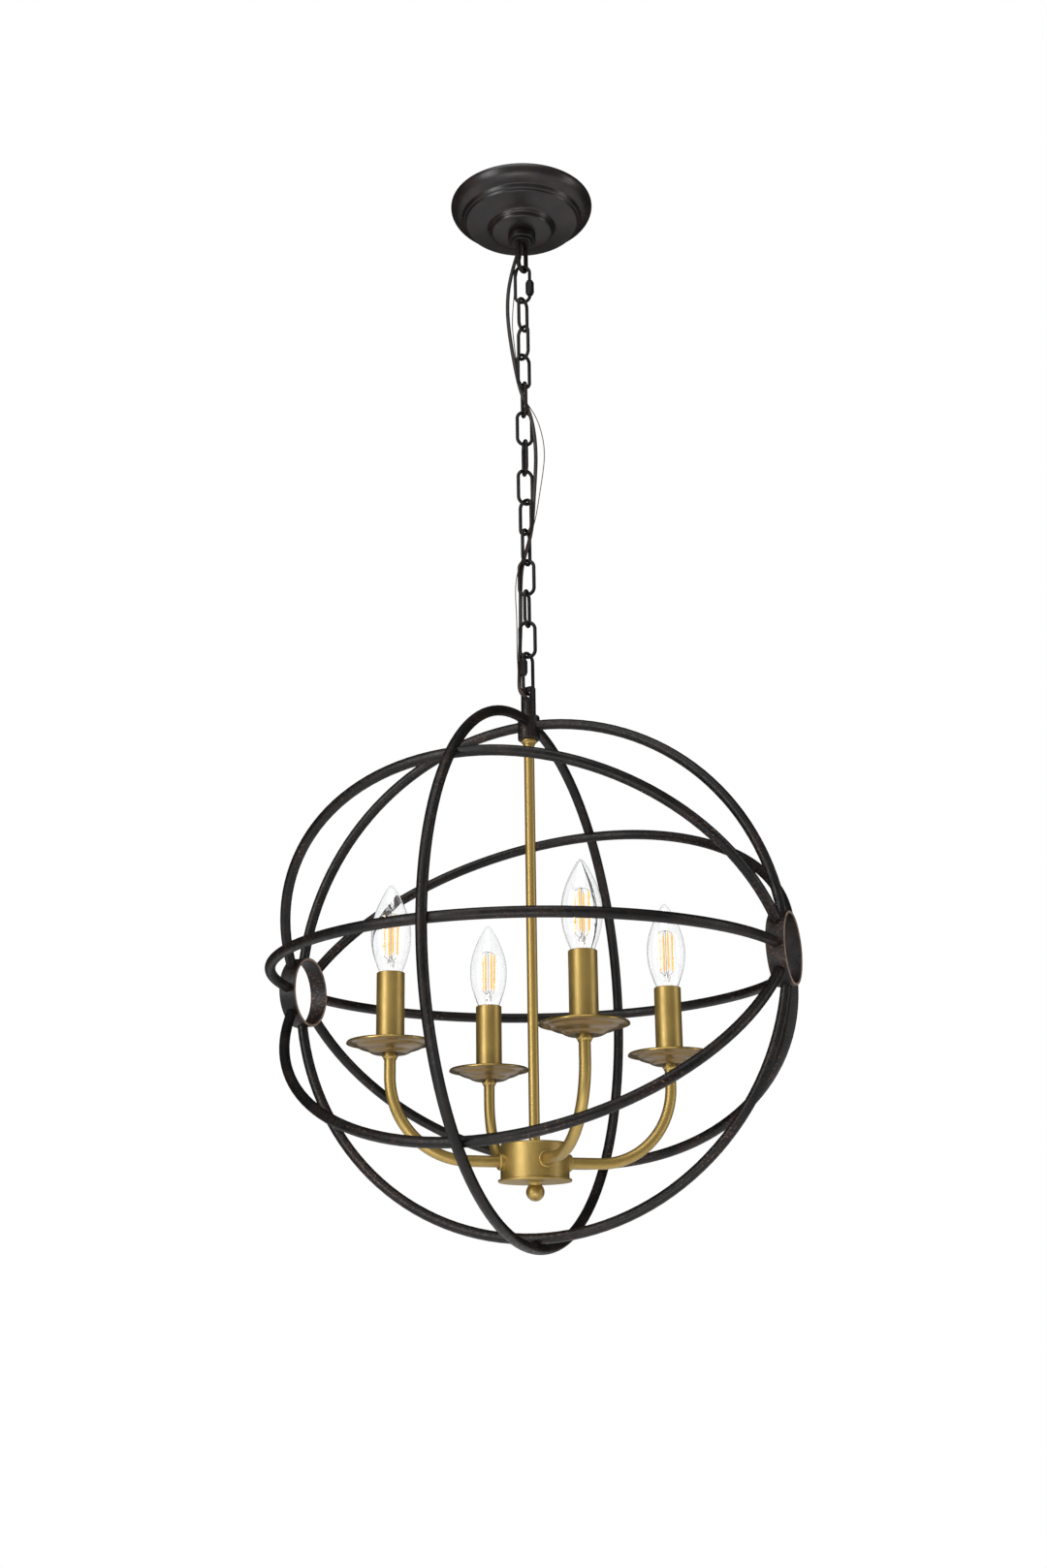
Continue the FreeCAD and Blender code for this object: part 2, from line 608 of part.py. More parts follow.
def pole_hoop(angle):
    return hoop(RING_RADIUS, lean(angle)).cut(pole_blank())


def ring_upright():
    return pole_hoop(90).cut(hub_blank())


def ring_outer():
    """The fifth ring, square to the others, notched where it is welded over their bars."""
    ring = hoop(OUTER_RING_RADIUS, V(1, 0, 0), OUTER_RING_SINK).cut(hub_blank())
    for angle in (0, LEAN_BACK, 90, LEAN_FRONT):
        ring = ring.cut(hoop(RING_RADIUS, lean(angle)))
    return Part.makeCompound([solid for solid in ring.Solids if solid.Volume > BAR_DIAMETER ** 3])


def side_collar(side):
    middle = side * side_collar_place()
    low = -SIDE_COLLAR_LENGTH / 2
    high = SIDE_COLLAR_LENGTH / 2
    chamfer = SIDE_COLLAR_CHAMFER
    bore = SIDE_COLLAR_RADIUS - SIDE_COLLAR_WALL
    ring = spun(
        (bore, low + chamfer),
        [
            (bore + chamfer, low),
            (SIDE_COLLAR_RADIUS - chamfer, low),
            (SIDE_COLLAR_RADIUS, low + chamfer),
            (SIDE_COLLAR_RADIUS, high - chamfer),
            (SIDE_COLLAR_RADIUS - chamfer, high),
            (bore + chamfer, high),
            (bore, high - chamfer),
            (bore, low + chamfer),
        ],
    )
    ring.rotate(V(0, 0, 0), V(0, 1, 0), 90)
    ring.translate(V(middle, 0, ORB_Z))
    return ring


# ---------------------------------------------------------------- stem and cluster
def stem_flange():
    bore = ROD_RADIUS + THREAD_GAP
    return spun(
        (bore, HUB_BOTTOM),
        [
            (FLANGE_RADIUS - 0.5, HUB_BOTTOM),
            (FLANGE_RADIUS, HUB_BOTTOM - 0.5),
            (FLANGE_RADIUS, HUB_BOTTOM - FLANGE_THICK),
            ((FLANGE_NECK_RADIUS + 0.5, HUB_BOTTOM - FLANGE_THICK - 0.7),
             (FLANGE_NECK_RADIUS, HUB_BOTTOM - FLANGE_THICK - FLANGE_TAPER)),
            (bore, HUB_BOTTOM - FLANGE_THICK - FLANGE_TAPER),
            (bore, HUB_BOTTOM),
        ],
    )


def stem_rod():
    return tube(ROD_RADIUS, WIREWAY_RADIUS, ROD_BOTTOM, ROD_TOP)


def stem_leads():
    """The cord's conductors, taped together, from the top hub down into the cluster."""
    low = ROD_BOTTOM + FINIAL_STUD_LENGTH
    return cylinder(WIREWAY_RADIUS - LEAD_PLAY, low, LEAD_END_Z)


def arm_angles():
    return [ARM_TURN + index * 360 / ARM_COUNT for index in range(ARM_COUNT)]


def arm_blank(radius):
    solid = Part.makeCylinder(radius, 2 * CLUSTER_RADIUS, V(0, 0, ARM_Z), V(1, 0, 0))
    return [turned(solid, angle) for angle in arm_angles()]


def cluster_body():
    """A deep drawn cup, open below, that the arms are clamped to."""
    low = CAP_TOP
    radius = CLUSTER_RADIUS
    inner = CLUSTER_RADIUS - CLUSTER_WALL
    high = CLUSTER_TOP
    fold = CLUSTER_ROUNDING
    bite = fold * ARC_BITE
    cup = spun(
        (radius, low),
        [
            (radius, high - fold),
            ((radius - bite, high - bite), (radius - fold, high)),
            (0, high),
            (0, high - CLUSTER_WALL),
            (inner, high - CLUSTER_WALL),
            (inner, low),
            (radius, low),
        ],
    )
    cup = cup.cut(cylinder(ROD_RADIUS + THREAD_GAP, low, high + 1))
    for blank in arm_blank(ARM_RADIUS + THREAD_GAP):
        cup = cup.cut(blank)
    return cup


def cluster_cap():
    fold = CAP_ROUNDING
    bite = fold * ARC_BITE
    spigot = CLUSTER_RADIUS - CLUSTER_WALL - SEAT_GAP
    cap = spun(
        (0, CAP_BOTTOM),
        [
            (CAP_RADIUS - fold, CAP_BOTTOM),
            ((CAP_RADIUS - bite, CAP_BOTTOM + bite), (CAP_RADIUS, CAP_BOTTOM + fold)),
            (CAP_RADIUS, CAP_TOP - fold),
            ((CAP_RADIUS - bite, CAP_TOP - bite), (CAP_RADIUS - fold, CAP_TOP)),
            (0, CAP_TOP),
            (0, CAP_BOTTOM),
        ],
    )
    ring = tube(spigot, spigot - CLUSTER_WALL, CAP_TOP, CAP_TOP + CAP_THICK)
    hole = cylinder(FINIAL_STUD_RADIUS + THREAD_GAP, CAP_BOTTOM - 1, CAP_TOP + 1)
    return cap.fuse(ring).cut(hole)


def cluster_nuts():
    bore = ROD_RADIUS + THREAD_GAP
    top = CLUSTER_TOP - CLUSTER_WALL
    upper = hexagon(CLUSTER_NUT_FLATS, bore, top - NUT_THICK, top)
    lower = hexagon(CLUSTER_NUT_FLATS, bore, ROD_BOTTOM, ROD_BOTTOM + NUT_THICK)
    return Part.makeCompound([upper, lower])


def finial():
    middle = CAP_BOTTOM - FINIAL_BALL_DROP
    neck_z = middle + math.sqrt(FINIAL_BALL_RADIUS ** 2 - FINIAL_NECK_RADIUS ** 2)
    stud_top = CAP_TOP + FINIAL_STUD_LENGTH
    side = math.sqrt(0.5) * FINIAL_BALL_RADIUS
    return spun(
        (0, stud_top),
        [
            (FINIAL_STUD_RADIUS, stud_top),
            (FINIAL_STUD_RADIUS, CAP_BOTTOM),
            (FINIAL_FLARE_RADIUS, CAP_BOTTOM),
            ((FINIAL_NECK_RADIUS + 0.6, (CAP_BOTTOM + neck_z) / 2), (FINIAL_NECK_RADIUS, neck_z)),
            ((FINIAL_BALL_RADIUS, middle), (side, middle - side)),
            ((FINIAL_BALL_RADIUS * math.sin(math.pi / 8), middle - FINIAL_BALL_RADIUS * math.cos(math.pi / 8)),
             (0, middle - FINIAL_BALL_RADIUS)),
            (0, stud_top),
        ],
    )


# ---------------------------------------------------------------- arms and lamps
def arm_path(start, top):
    """Out along +X from the cluster, up through one large bend."""
    bend_start = ARM_REACH - ARM_BEND
    low = ARM_BEND * (1 - math.sqrt(0.5))
    return [
        Part.LineSegment(V(start, 0, ARM_Z), V(bend_start, 0, ARM_Z)).toShape(),
        Part.Arc(
            V(bend_start, 0, ARM_Z),
            V(ARM_REACH - low, 0, ARM_Z + low),
            V(ARM_REACH, 0, ARM_Z + ARM_BEND),
        ).toShape(),
        Part.LineSegment(V(ARM_REACH, 0, ARM_Z + ARM_BEND), V(ARM_REACH, 0, top)).toShape(),
    ]


def arm_end():
    return SOCKET_Z + SOCKET_ARM_DEPTH - SEAT_GAP


def arm(angle):
    start = CLUSTER_RADIUS - ARM_INSIDE
    solid = swept(arm_path(start, arm_end()), ARM_RADIUS)
    bore = swept(arm_path(start - 1, arm_end() + 1), ARM_BORE)
    return turned(solid.cut(bore), angle)


def lamp_leads():
    start = CLUSTER_RADIUS - ARM_INSIDE - 1
    lead = swept(arm_path(start, arm_end() - SEAT_GAP), ARM_BORE - LEAD_PLAY)
    return Part.makeCompound([turned(lead, angle) for angle in arm_angles()])


def arm_collars():
    """Dished washers between the arms and the cluster's round wall."""
    outer = CLUSTER_RADIUS + ARM_COLLAR_THICK
    collars = []
    wall = cylinder(CLUSTER_RADIUS, ARM_Z - 2 * ARM_COLLAR_RADIUS, ARM_Z + 2 * ARM_COLLAR_RADIUS)
    start = V(CLUSTER_RADIUS / 2, 0, ARM_Z)
    for angle in arm_angles():
        disc = Part.makeCylinder(ARM_COLLAR_RADIUS, outer - CLUSTER_RADIUS / 2, start, V(1, 0, 0))
        edge = [e for e in disc.Edges if abs(e.CenterOfMass.x - outer) < 0.01]
        disc = disc.makeFillet(ARM_COLLAR_THICK / 3, edge)
        bore = Part.makeCylinder(ARM_RADIUS + THREAD_GAP, 2 * outer, V(0, 0, ARM_Z), V(1, 0, 0))
        collars.append(turned(disc.cut(bore).cut(wall), angle))
    return Part.makeCompound(collars)


def at_lamps(shape):
    """One copy of a piece that is centred on the Z axis, over each arm's end."""
    shape.translate(V(ARM_REACH, 0, 0))
    return [turned(shape, angle) for angle in arm_angles()]


def arm_nuts():
    bore = ARM_RADIUS + THREAD_GAP
    top = DISH_BOTTOM
    low = top - ARM_NUT_HEIGHT
    nut = spun(
        (bore, top),
        [
            (ARM_NUT_NECK, top),
            (ARM_NUT_NECK, top - 1.2),
            (ARM_NUT_RADIUS, top - 1.6),
            (ARM_NUT_RADIUS, top - 2.6),
            ((ARM_NUT_NECK + 0.2, top - 3.2), (ARM_NUT_NECK - 0.3, low)),
            (bore, low),
            (bore, top),
        ],
    )
    return Part.makeCompound(at_lamps(nut))


def dish_outline(lift):
    """The dish from its foot out to its rim, a shallow bowl with two soft steps."""
    foot = DISH_FOOT_RADIUS
    low = DISH_BOTTOM + lift
    return [
        ((foot + 2.6, low + 0.5), (foot + 4.6, low + 2.0)),
        ((foot + 5.6, low + 2.9), (foot + 7.0, low + 3.2)),
        ((foot + 11.6, low + 4.4), (foot + 15.6, low + 6.8)),
        ((foot + 16.4, low + 7.6), (foot + 17.6, low + 7.9)),
        ((foot + 19.6, low + 8.6), (foot + 21.4, low + 9.9)),
        ((foot + 22.2, low + 10.3), (DISH_RADIUS - 1.2, low + 9.6)),
    ]


def bobeche():
    outer = dish_outline(0)
    inner = dish_outline(DISH_SHEET)
    ends = [(DISH_FOOT_RADIUS, DISH_FLOOR)] + [step[1] for step in inner]
    back = [(step[0], end) for step, end in zip(reversed(inner), reversed(ends[:-1]))]
    rim_low = outer[-1][1]
    rim_high = inner[-1][1]
    bore = ARM_RADIUS + THREAD_GAP
    lip = (rim_low[1] + rim_high[1]) / 2 - DISH_LIP
    dish = spun(
        (bore, DISH_BOTTOM),
        [(DISH_FOOT_RADIUS, DISH_BOTTOM)] + outer
        + [(DISH_RADIUS - 0.9, lip), (DISH_RADIUS, lip), ((DISH_RADIUS - 0.2, rim_high[1] - 0.3), rim_high)]
        + back + [(bore, DISH_FLOOR), (bore, DISH_BOTTOM)],
    )
    return dish


def socket_piece():
    """A lamp holder: its foot screws onto the arm, its bore takes the bulb's base."""
    holder = spun(
        (0, SOCKET_Z),
        [
            (SOCKET_FOOT_RADIUS, SOCKET_Z),
            (SOCKET_FOOT_RADIUS, DISH_Z + SOCKET_FOOT_TOP),
            (SOCKET_RADIUS, DISH_Z + SOCKET_FOOT_TOP + 2),
            (SOCKET_RADIUS, SOCKET_TOP_Z),
            (BASE_RADIUS + BASE_FIT, SOCKET_TOP_Z),
            (BASE_RADIUS + BASE_FIT, SOCKET_FLOOR_Z),
            (0, SOCKET_FLOOR_Z),
            (0, SOCKET_Z),
        ],
    )
    return holder.cut(cylinder(ARM_RADIUS + THREAD_GAP, SOCKET_Z - 1, SOCKET_Z + SOCKET_ARM_DEPTH))


def candle_piece():
    bore = CANDLE_RADIUS - CANDLE_WALL
    edge = 0.6
    return spun(
        (bore, DISH_FLOOR),
        [
            (CANDLE_RADIUS, DISH_FLOOR),
            (CANDLE_RADIUS, CANDLE_Z - edge),
            (CANDLE_RADIUS - edge, CANDLE_Z),
            (bore, CANDLE_Z),
            (bore, DISH_FLOOR),
        ],
    )


def bulb_outline(inset):
    """The bulb's outline from its neck up to its tip, a pointed oval closed by a small round cap."""
    neck = BULB_NECK_RADIUS - inset
    wide = BULB_RADIUS - inset
    start = BASE_TOP_Z
    wide_z = CANDLE_Z + BULB_HEIGHT * 0.42
    tip_z = CANDLE_Z + BULB_HEIGHT - inset
    cap = BULB_TIP_RADIUS - inset
    turn = math.radians(BULB_TIP_TURN)
    cap_z = tip_z - cap
    shoulder = (cap * math.sin(turn), cap_z + cap * math.cos(turn))
    half = (cap * math.sin(turn / 2), cap_z + cap * math.cos(turn / 2))
    side = (wide - 2.2, wide_z + 16.0)
    return (neck, start), [
        (neck + 1.0, CANDLE_Z),
        ((wide - 2.2, wide_z - 17.0), (wide, wide_z)),
        (side, (wide * 0.44, wide_z + 35.0)),
        ((wide * 0.31, wide_z + 39.6), shoulder),
        (half, (0, tip_z)),
    ]


def bulb_glass():
    solids = []
    for inset in (0, BULB_WALL):
        start, steps = bulb_outline(inset)
        solids.append(spun(start, steps + [(0, start[1]), start]))
    return solids[0].cut(solids[1])


def bulb_base():
    """The screw base with its contact, the glass mount on it, and the filaments between their two holders."""
    pitch = BASE_PITCH
    steps = [(BASE_RADIUS, BASE_TOP_Z - BASE_COLLAR)]
    z = steps[0][1]
    while z > BASE_Z + BASE_NOSE + BASE_COLLAR:
        steps += [(BASE_RADIUS - BASE_GROOVE, z - pitch / 3), (BASE_RADIUS, z - pitch * 2 / 3), (BASE_RADIUS, z - pitch)]
        z -= pitch
    base = spun(
        (0, BASE_TOP_Z),
        [(BASE_RADIUS, BASE_TOP_Z)] + steps
        + [(BASE_RADIUS, BASE_Z + BASE_NOSE), (BASE_CONTACT, BASE_Z), (0, BASE_Z), (0, BASE_TOP_Z)],
    )
    tip = BASE_TOP_Z + MOUNT_HEIGHT
    mount = spun(
        (0, BASE_TOP_Z),
        [
            (MOUNT_RADIUS + 2.2, BASE_TOP_Z),
            ((MOUNT_RADIUS, BASE_TOP_Z + MOUNT_HEIGHT * 0.3), (MOUNT_TIP_RADIUS, tip)),
            (0, tip),
            (0, BASE_TOP_Z),
        ],
    )
    holder_radius = FILAMENT_SPREAD + FILAMENT_RADIUS + 0.3
    low_holder = cylinder(holder_radius, tip, tip + HOLDER_THICK)
    start = tip + HOLDER_THICK
    high_holder = cylinder(holder_radius, start + FILAMENT_LENGTH, start + FILAMENT_LENGTH + HOLDER_THICK)
    pieces = [base, mount, low_holder, high_holder]
    for index in range(FILAMENT_COUNT):
        angle = math.radians(360 * index / FILAMENT_COUNT + 45)
        x = FILAMENT_SPREAD * math.cos(angle)
        y = FILAMENT_SPREAD * math.sin(angle)
        pieces.append(cylinder(FILAMENT_RADIUS, start, start + FILAMENT_LENGTH, x, y))
    return Part.makeCompound(pieces)


# ---------------------------------------------------------------- nodes
def build():
    nodes = {
        "crossbar": crossbar(),
        "ceiling_nipple": ceiling_nipple(),
        "nipple_nuts": nipple_nuts(),
        "canopy": canopy(),
        "screw_collar": screw_collar(),
        "canopy_loop": canopy_loop(),
        "quick_link_top": quick_link(QUICK_TOP_Z, VIEW_TURN + QUICK_TOP_TURN, -1),
        "sleeve_nut_top": sleeve_nut(QUICK_TOP_Z, VIEW_TURN + QUICK_TOP_TURN, -1),
        "quick_link_bottom": quick_link(QUICK_BOTTOM_Z, VIEW_TURN + QUICK_BOTTOM_TURN + 180, 1),
        "sleeve_nut_bottom": sleeve_nut(QUICK_BOTTOM_Z, VIEW_TURN + QUICK_BOTTOM_TURN + 180, 1),
        "supply_cord": supply_cord(),
        "earth_wire": earth_wire(),
        "hub_loop": hub_loop(),
        "top_hub": top_hub(),
        "ring_outer": ring_outer(),
        "ring_upright": ring_upright(),
        "ring_level": pole_hoop(0),
        "ring_lean_front": pole_hoop(LEAN_FRONT),
        "ring_lean_back": pole_hoop(LEAN_BACK),
        "side_collar_right": side_collar(1),
        "side_collar_left": side_collar(-1),
        "stem_flange": stem_flange(),
        "stem_rod": stem_rod(),
        "stem_leads": stem_leads(),
        "cluster_body": cluster_body(),
        "cluster_cap": cluster_cap(),
        "cluster_nuts": cluster_nuts(),
        "finial": finial(),
        "arm_collars": arm_collars(),
        "arm_nuts": arm_nuts(),
        "lamp_leads": lamp_leads(),
        "bobeches": Part.makeCompound(at_lamps(bobeche())),
        "lamp_sockets": Part.makeCompound(at_lamps(socket_piece())),
        "candle_sleeves": Part.makeCompound(at_lamps(candle_piece())),
    }
    for index in range(LINK_COUNT):
        nodes["chain_link_%02d" % (index + 1)] = chain_link(index)
    for index, angle in enumerate(arm_angles(), 1):
        nodes["arm_%d" % index] = arm(angle)
    for index, glass in enumerate(at_lamps(bulb_glass()), 1):
        nodes["bulb_glass_%d" % index] = glass
    for index, base in enumerate(at_lamps(bulb_base()), 1):
        nodes["bulb_base_%d" % index] = base
    return nodes


os.makedirs("parts", exist_ok=True)
for name, shape in build().items():
    shape.exportStep("parts/%s.step" % name)
print("loop wire", LOOP_WIRE_Z, "quick top", QUICK_TOP_Z, QUICK_TOP_END, "links", FIRST_LINK_Z, LAST_LINK_Z)
print("quick bottom", QUICK_BOTTOM_Z, QUICK_BOTTOM_END, "orb", ORB_Z, "dish", DISH_Z, "arm", ARM_Z)
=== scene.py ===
import bpy
import math
import numpy as np
from mathutils import Matrix, Vector


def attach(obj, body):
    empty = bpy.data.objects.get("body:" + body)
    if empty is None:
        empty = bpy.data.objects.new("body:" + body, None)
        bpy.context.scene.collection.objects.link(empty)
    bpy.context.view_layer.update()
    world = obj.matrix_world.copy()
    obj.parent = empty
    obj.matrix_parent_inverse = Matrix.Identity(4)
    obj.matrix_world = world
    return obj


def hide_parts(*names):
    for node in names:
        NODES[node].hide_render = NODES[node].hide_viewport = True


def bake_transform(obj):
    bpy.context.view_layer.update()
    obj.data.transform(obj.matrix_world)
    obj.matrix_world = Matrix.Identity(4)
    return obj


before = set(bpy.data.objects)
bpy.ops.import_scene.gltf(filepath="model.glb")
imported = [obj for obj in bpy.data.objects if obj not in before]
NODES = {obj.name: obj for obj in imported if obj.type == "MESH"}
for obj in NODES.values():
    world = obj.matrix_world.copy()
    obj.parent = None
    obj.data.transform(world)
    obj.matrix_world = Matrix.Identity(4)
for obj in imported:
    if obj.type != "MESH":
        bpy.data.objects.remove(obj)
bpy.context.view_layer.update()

# ---------------------------------------------------------------- sizes, in metres
VIEW_TURN = math.radians(21.15)      # azimuth of the photograph's left to right line
CORD_DIAMETER = 0.0037
EARTH_DIAMETER = 0.0009
LINK_PITCH = 0.0317
LINK_REACH = 0.0354
LINK_COUNT = 12
EYE_Z = -0.0763                      # lowest wire of the canopy's eye
QUICK_TOP_END_Z = -0.1128
FIRST_LINK_Z = -0.10915
QUICK_BOTTOM_END_Z = -0.5303
ORB_Z = -0.79395                     # middle of the cage
LAMP_REACH = 0.130
LAMP_TURNS = (-50.0, 40.0, 130.0, 220.0)
SLEEVE_TOP_Z = -0.80175
BASE_TOP_Z = -0.81105
BASE_Z = -0.83705
BASE_RADIUS = 0.0068
GLASS_WALL = 0.0007

# The cord's and the earth wire's routes: how far right of the chain's line the photograph shows them,
# how far behind it they run, and their height.
CORD_ROUTE = (
    (-0.0012, 0.0002, -0.0030), (-0.0009, -0.0002, -0.0130), (-0.0012, 0.0001, -0.0240),
    (-0.0008, 0.0, -0.0350), (-0.0009, 0.0002, -0.0450), (-0.0042, 0.0016, -0.0545),
    (-0.0078, 0.0027, -0.0660), (-0.0112, 0.0027, -0.0800), (-0.0140, 0.0014, -0.0960),
    (-0.0153, 0.0003, -0.1130), (-0.0152, -0.0002, -0.1300), (-0.0135, 0.0001, -0.1500),
    (-0.0105, 0.0010, -0.1720), (-0.0069, 0.0019, -0.1940), (-0.0029, 0.0018, -0.2130),
    (0.0027, -0.0018, -0.2300), (0.0071, -0.0046, -0.2460), (0.0099, -0.0043, -0.2650),
    (0.0108, -0.0024, -0.2850), (0.0099, -0.0015, -0.3050), (0.0084, -0.0014, -0.3250),
    (0.0073, -0.0008, -0.3430), (0.0058, 0.0009, -0.3600), (0.0025, 0.0014, -0.3760),
    (-0.0016, 0.0033, -0.3880), (-0.0048, 0.0062, -0.4010), (-0.0059, 0.0065, -0.4190),
    (-0.0062, 0.0055, -0.4400), (-0.0063, 0.0052, -0.4620), (-0.0073, 0.0053, -0.4820),
    (-0.0077, 0.0045, -0.4980), (-0.0080, 0.0026, -0.5100), (-0.0083, 0.0006, -0.5190),
    (-0.0080, -0.0019, -0.5260), (-0.0063, -0.0033, -0.5306), (-0.0040, -0.0032, -0.5328),
    (-0.0016, -0.0011, -0.5350), (-0.0008, 0.0001, -0.5394), (-0.0008, 0.0004, -0.5450),
    (-0.0008, 0.0002, -0.5500),
)
EARTH_ROUTE = (
    (0.0020, -0.0005, -0.0030), (0.0018, -0.0002, -0.0140), (0.0021, -0.0006, -0.0260),
    (0.0017, -0.0004, -0.0370), (0.0014, -0.0009, -0.0470), (-0.0004, -0.0004, -0.0570),
    (-0.0026, 0.0027, -0.0660), (-0.0056, 0.0051, -0.0770), (-0.0076, 0.0055, -0.0900),
    (-0.0088, 0.0048, -0.1050), (-0.0103, 0.0040, -0.1220), (-0.0108, 0.0026, -0.1400),
    (-0.0090, 0.0032, -0.1600), (-0.0069, 0.0045, -0.1800), (-0.0055, 0.0052, -0.1960),
    (-0.0041, 0.0051, -0.2080), (-0.0006, 0.0041, -0.2175), (0.0042, 0.0031, -0.2265),
    (0.0100, 0.0018, -0.2370), (0.0148, 0.0010, -0.2500), (0.0183, 0.0004, -0.2670),
    (0.0193, -0.0004, -0.2830), (0.0177, -0.0008, -0.2990), (0.0150, -0.0013, -0.3170),
    (0.0122, -0.0020, -0.3350), (0.0096, -0.0027, -0.3510), (0.0052, -0.0019, -0.3660),
    (0.0007, -0.0018, -0.3810), (-0.0039, -0.0020, -0.3930), (-0.0081, -0.0016, -0.4050),
    (-0.0106, -0.0007, -0.4180), (-0.0108, 0.0004, -0.4340), (-0.0100, 0.0009, -0.4500),
    (-0.0099, 0.0011, -0.4660), (-0.0100, 0.0014, -0.4840), (-0.0096, 0.0002, -0.4980),
    (-0.0092, -0.0018, -0.5110), (-0.0087, -0.0036, -0.5200), (-0.0074, -0.0055, -0.5270),
    (-0.0045, -0.0067, -0.5315), (-0.0017, -0.0058, -0.5342), (0.0003, -0.0031, -0.5352),
    (0.0009, -0.0024, -0.5396), (0.0015, -0.0020, -0.5450), (0.0016, -0.0018, -0.5500),
)


# ---------------------------------------------------------------- camera
# The camera as fitted to the orb's hoops, in the photograph's own directions and from the orb's middle.
CAMERA_LENS = 42.72
CAMERA_PLACE = (0.0, -1.6359, -0.3347)
CAMERA_RIGHT = (0.99991, 0.00731, -0.01254)
CAMERA_UP = (0.01415, -0.29786, 0.95452)


def add_camera():
    """The photograph's camera."""
    data = bpy.data.cameras.new("camera")
    data.sensor_fit = "VERTICAL"
    data.sensor_height = 36.0
    data.lens = CAMERA_LENS
    data.clip_start = 0.05
    data.clip_end = 60.0
    turn = Matrix.Rotation(VIEW_TURN, 3, "Z")
    right = turn @ Vector(CAMERA_RIGHT)
    up = turn @ Vector(CAMERA_UP)
    back = right.cross(up).normalized()
    up = back.cross(right).normalized()
    right.normalize()
    place = turn @ Vector(CAMERA_PLACE) + Vector((0.0, 0.0, ORB_Z))
    camera = bpy.data.objects.new("camera", data)
    bpy.context.collection.objects.link(camera)
    rotation = Matrix((right, up, back)).transposed()
    camera.matrix_world = Matrix.Translation(place) @ rotation.to_4x4()
    bpy.context.scene.camera = camera


add_camera()


# ---------------------------------------------------------------- node helpers
def new_material(name):
    material = bpy.data.materials.new(name)
    material.use_nodes = True
    material.node_tree.nodes.clear()
    return material, material.node_tree.nodes, material.node_tree.links


def noise(nodes, links, coords, scale, detail=4.0, rough=0.55, stretch=None):
    if stretch:
        mapping = nodes.new("ShaderNodeMapping")
        mapping.inputs["Scale"].default_value = stretch
        links.new(coords, mapping.inputs["Vector"])
        coords = mapping.outputs["Vector"]
    node = nodes.new("ShaderNodeTexNoise")
    node.inputs["Scale"].default_value = scale
    node.inputs["Detail"].default_value = detail
    node.inputs["Roughness"].default_value = rough
    links.new(coords, node.inputs["Vector"])
    return node.outputs["Fac"]


def ramp(nodes, links, value, stops):
    node = nodes.new("ShaderNodeValToRGB")
    elements = node.color_ramp.elements
    while len(elements) < len(stops):
        elements.new(0.5)
    for element, (place, colour) in zip(elements, stops):
        element.position = place
        element.color = colour if len(colour) == 4 else (*colour, 1.0)
    links.new(value, node.inputs["Fac"])
    return node.outputs["Color"]


def grey(value):
    return (value, value, value, 1.0)


def fade(nodes, links, value, start, end, low=0.0, high=1.0):
    """A ramp from one grey to another between two places."""
    return ramp(nodes, links, value, [(start, grey(low)), (end, grey(high))])


def mix(nodes, links, factor, first, second, kind="MIX"):
    node = nodes.new("ShaderNodeMix")
    node.data_type = "RGBA"
    node.blend_type = kind
    if isinstance(factor, float):
        node.inputs["Factor"].default_value = factor
    else:
        links.new(factor, node.inputs["Factor"])
    for value, socket in ((first, node.inputs[6]), (second, node.inputs[7])):
        if isinstance(value, tuple):
            socket.default_value = value if len(value) == 4 else (*value, 1.0)
        else:
            links.new(value, socket)
    return node.outputs[2]


def bump(nodes, links, height, strength, distance, normal=None):
    node = nodes.new("ShaderNodeBump")
    node.inputs["Strength"].default_value = strength
    node.inputs["Distance"].default_value = distance
    links.new(height, node.inputs["Height"])
    if normal is not None:
        links.new(normal, node.inputs["Normal"])
    return node.outputs["Normal"]


def end_faces(nodes, links, coords):
    """White, with gaps, on faces square to the X axis: the side collars' light rims, partly rubbed wear and
    partly a painted highlight.
    """
    surface = nodes.new("ShaderNodeTexCoord")
    parts = nodes.new("ShaderNodeSeparateXYZ")
    links.new(surface.outputs["Normal"], parts.inputs["Vector"])
    size = nodes.new("ShaderNodeMath")
    size.operation = "ABSOLUTE"
    links.new(parts.outputs["X"], size.inputs[0])
    square = fade(nodes, links, size.outputs[0], 0.55, 0.85)
    # Gaps in the light rims, which stand for rubbed wear and for a painted highlight.
    wear_and_highlight_gaps = fade(nodes, links, noise(nodes, links, coords, 120.0, 3.0), 0.30, 0.60, 0.35)
    return mix(nodes, links, 1.0, square, wear_and_highlight_gaps, "MULTIPLY")


def shade_on_low_faces(nodes, links):
    """White on faces that look down: the mask of a painted shade on undersides."""
    surface = nodes.new("ShaderNodeTexCoord")
    parts = nodes.new("ShaderNodeSeparateXYZ")
    links.new(surface.outputs["Normal"], parts.inputs["Vector"])
    turned = nodes.new("ShaderNodeMath")
    turned.operation = "MULTIPLY"
    turned.inputs[1].default_value = -1.0
    links.new(parts.outputs["Z"], turned.inputs[0])
    return fade(nodes, links, turned.outputs[0], 0.10, 0.35)


def finish_material(material, nodes, links, colour, rough, normal, metallic, **fixed):
    shader = nodes.new("ShaderNodeBsdfPrincipled")
    output = nodes.new("ShaderNodeOutputMaterial")
    links.new(shader.outputs["BSDF"], output.inputs["Surface"])
    links.new(colour, shader.inputs["Base Color"])
    links.new(rough, shader.inputs["Roughness"])
    if normal is not None:
        links.new(normal, shader.inputs["Normal"])
    shader.inputs["Metallic"].default_value = metallic
    for name, value in fixed.items():
        shader.inputs[name.replace("_", " ")].default_value = value
    return material


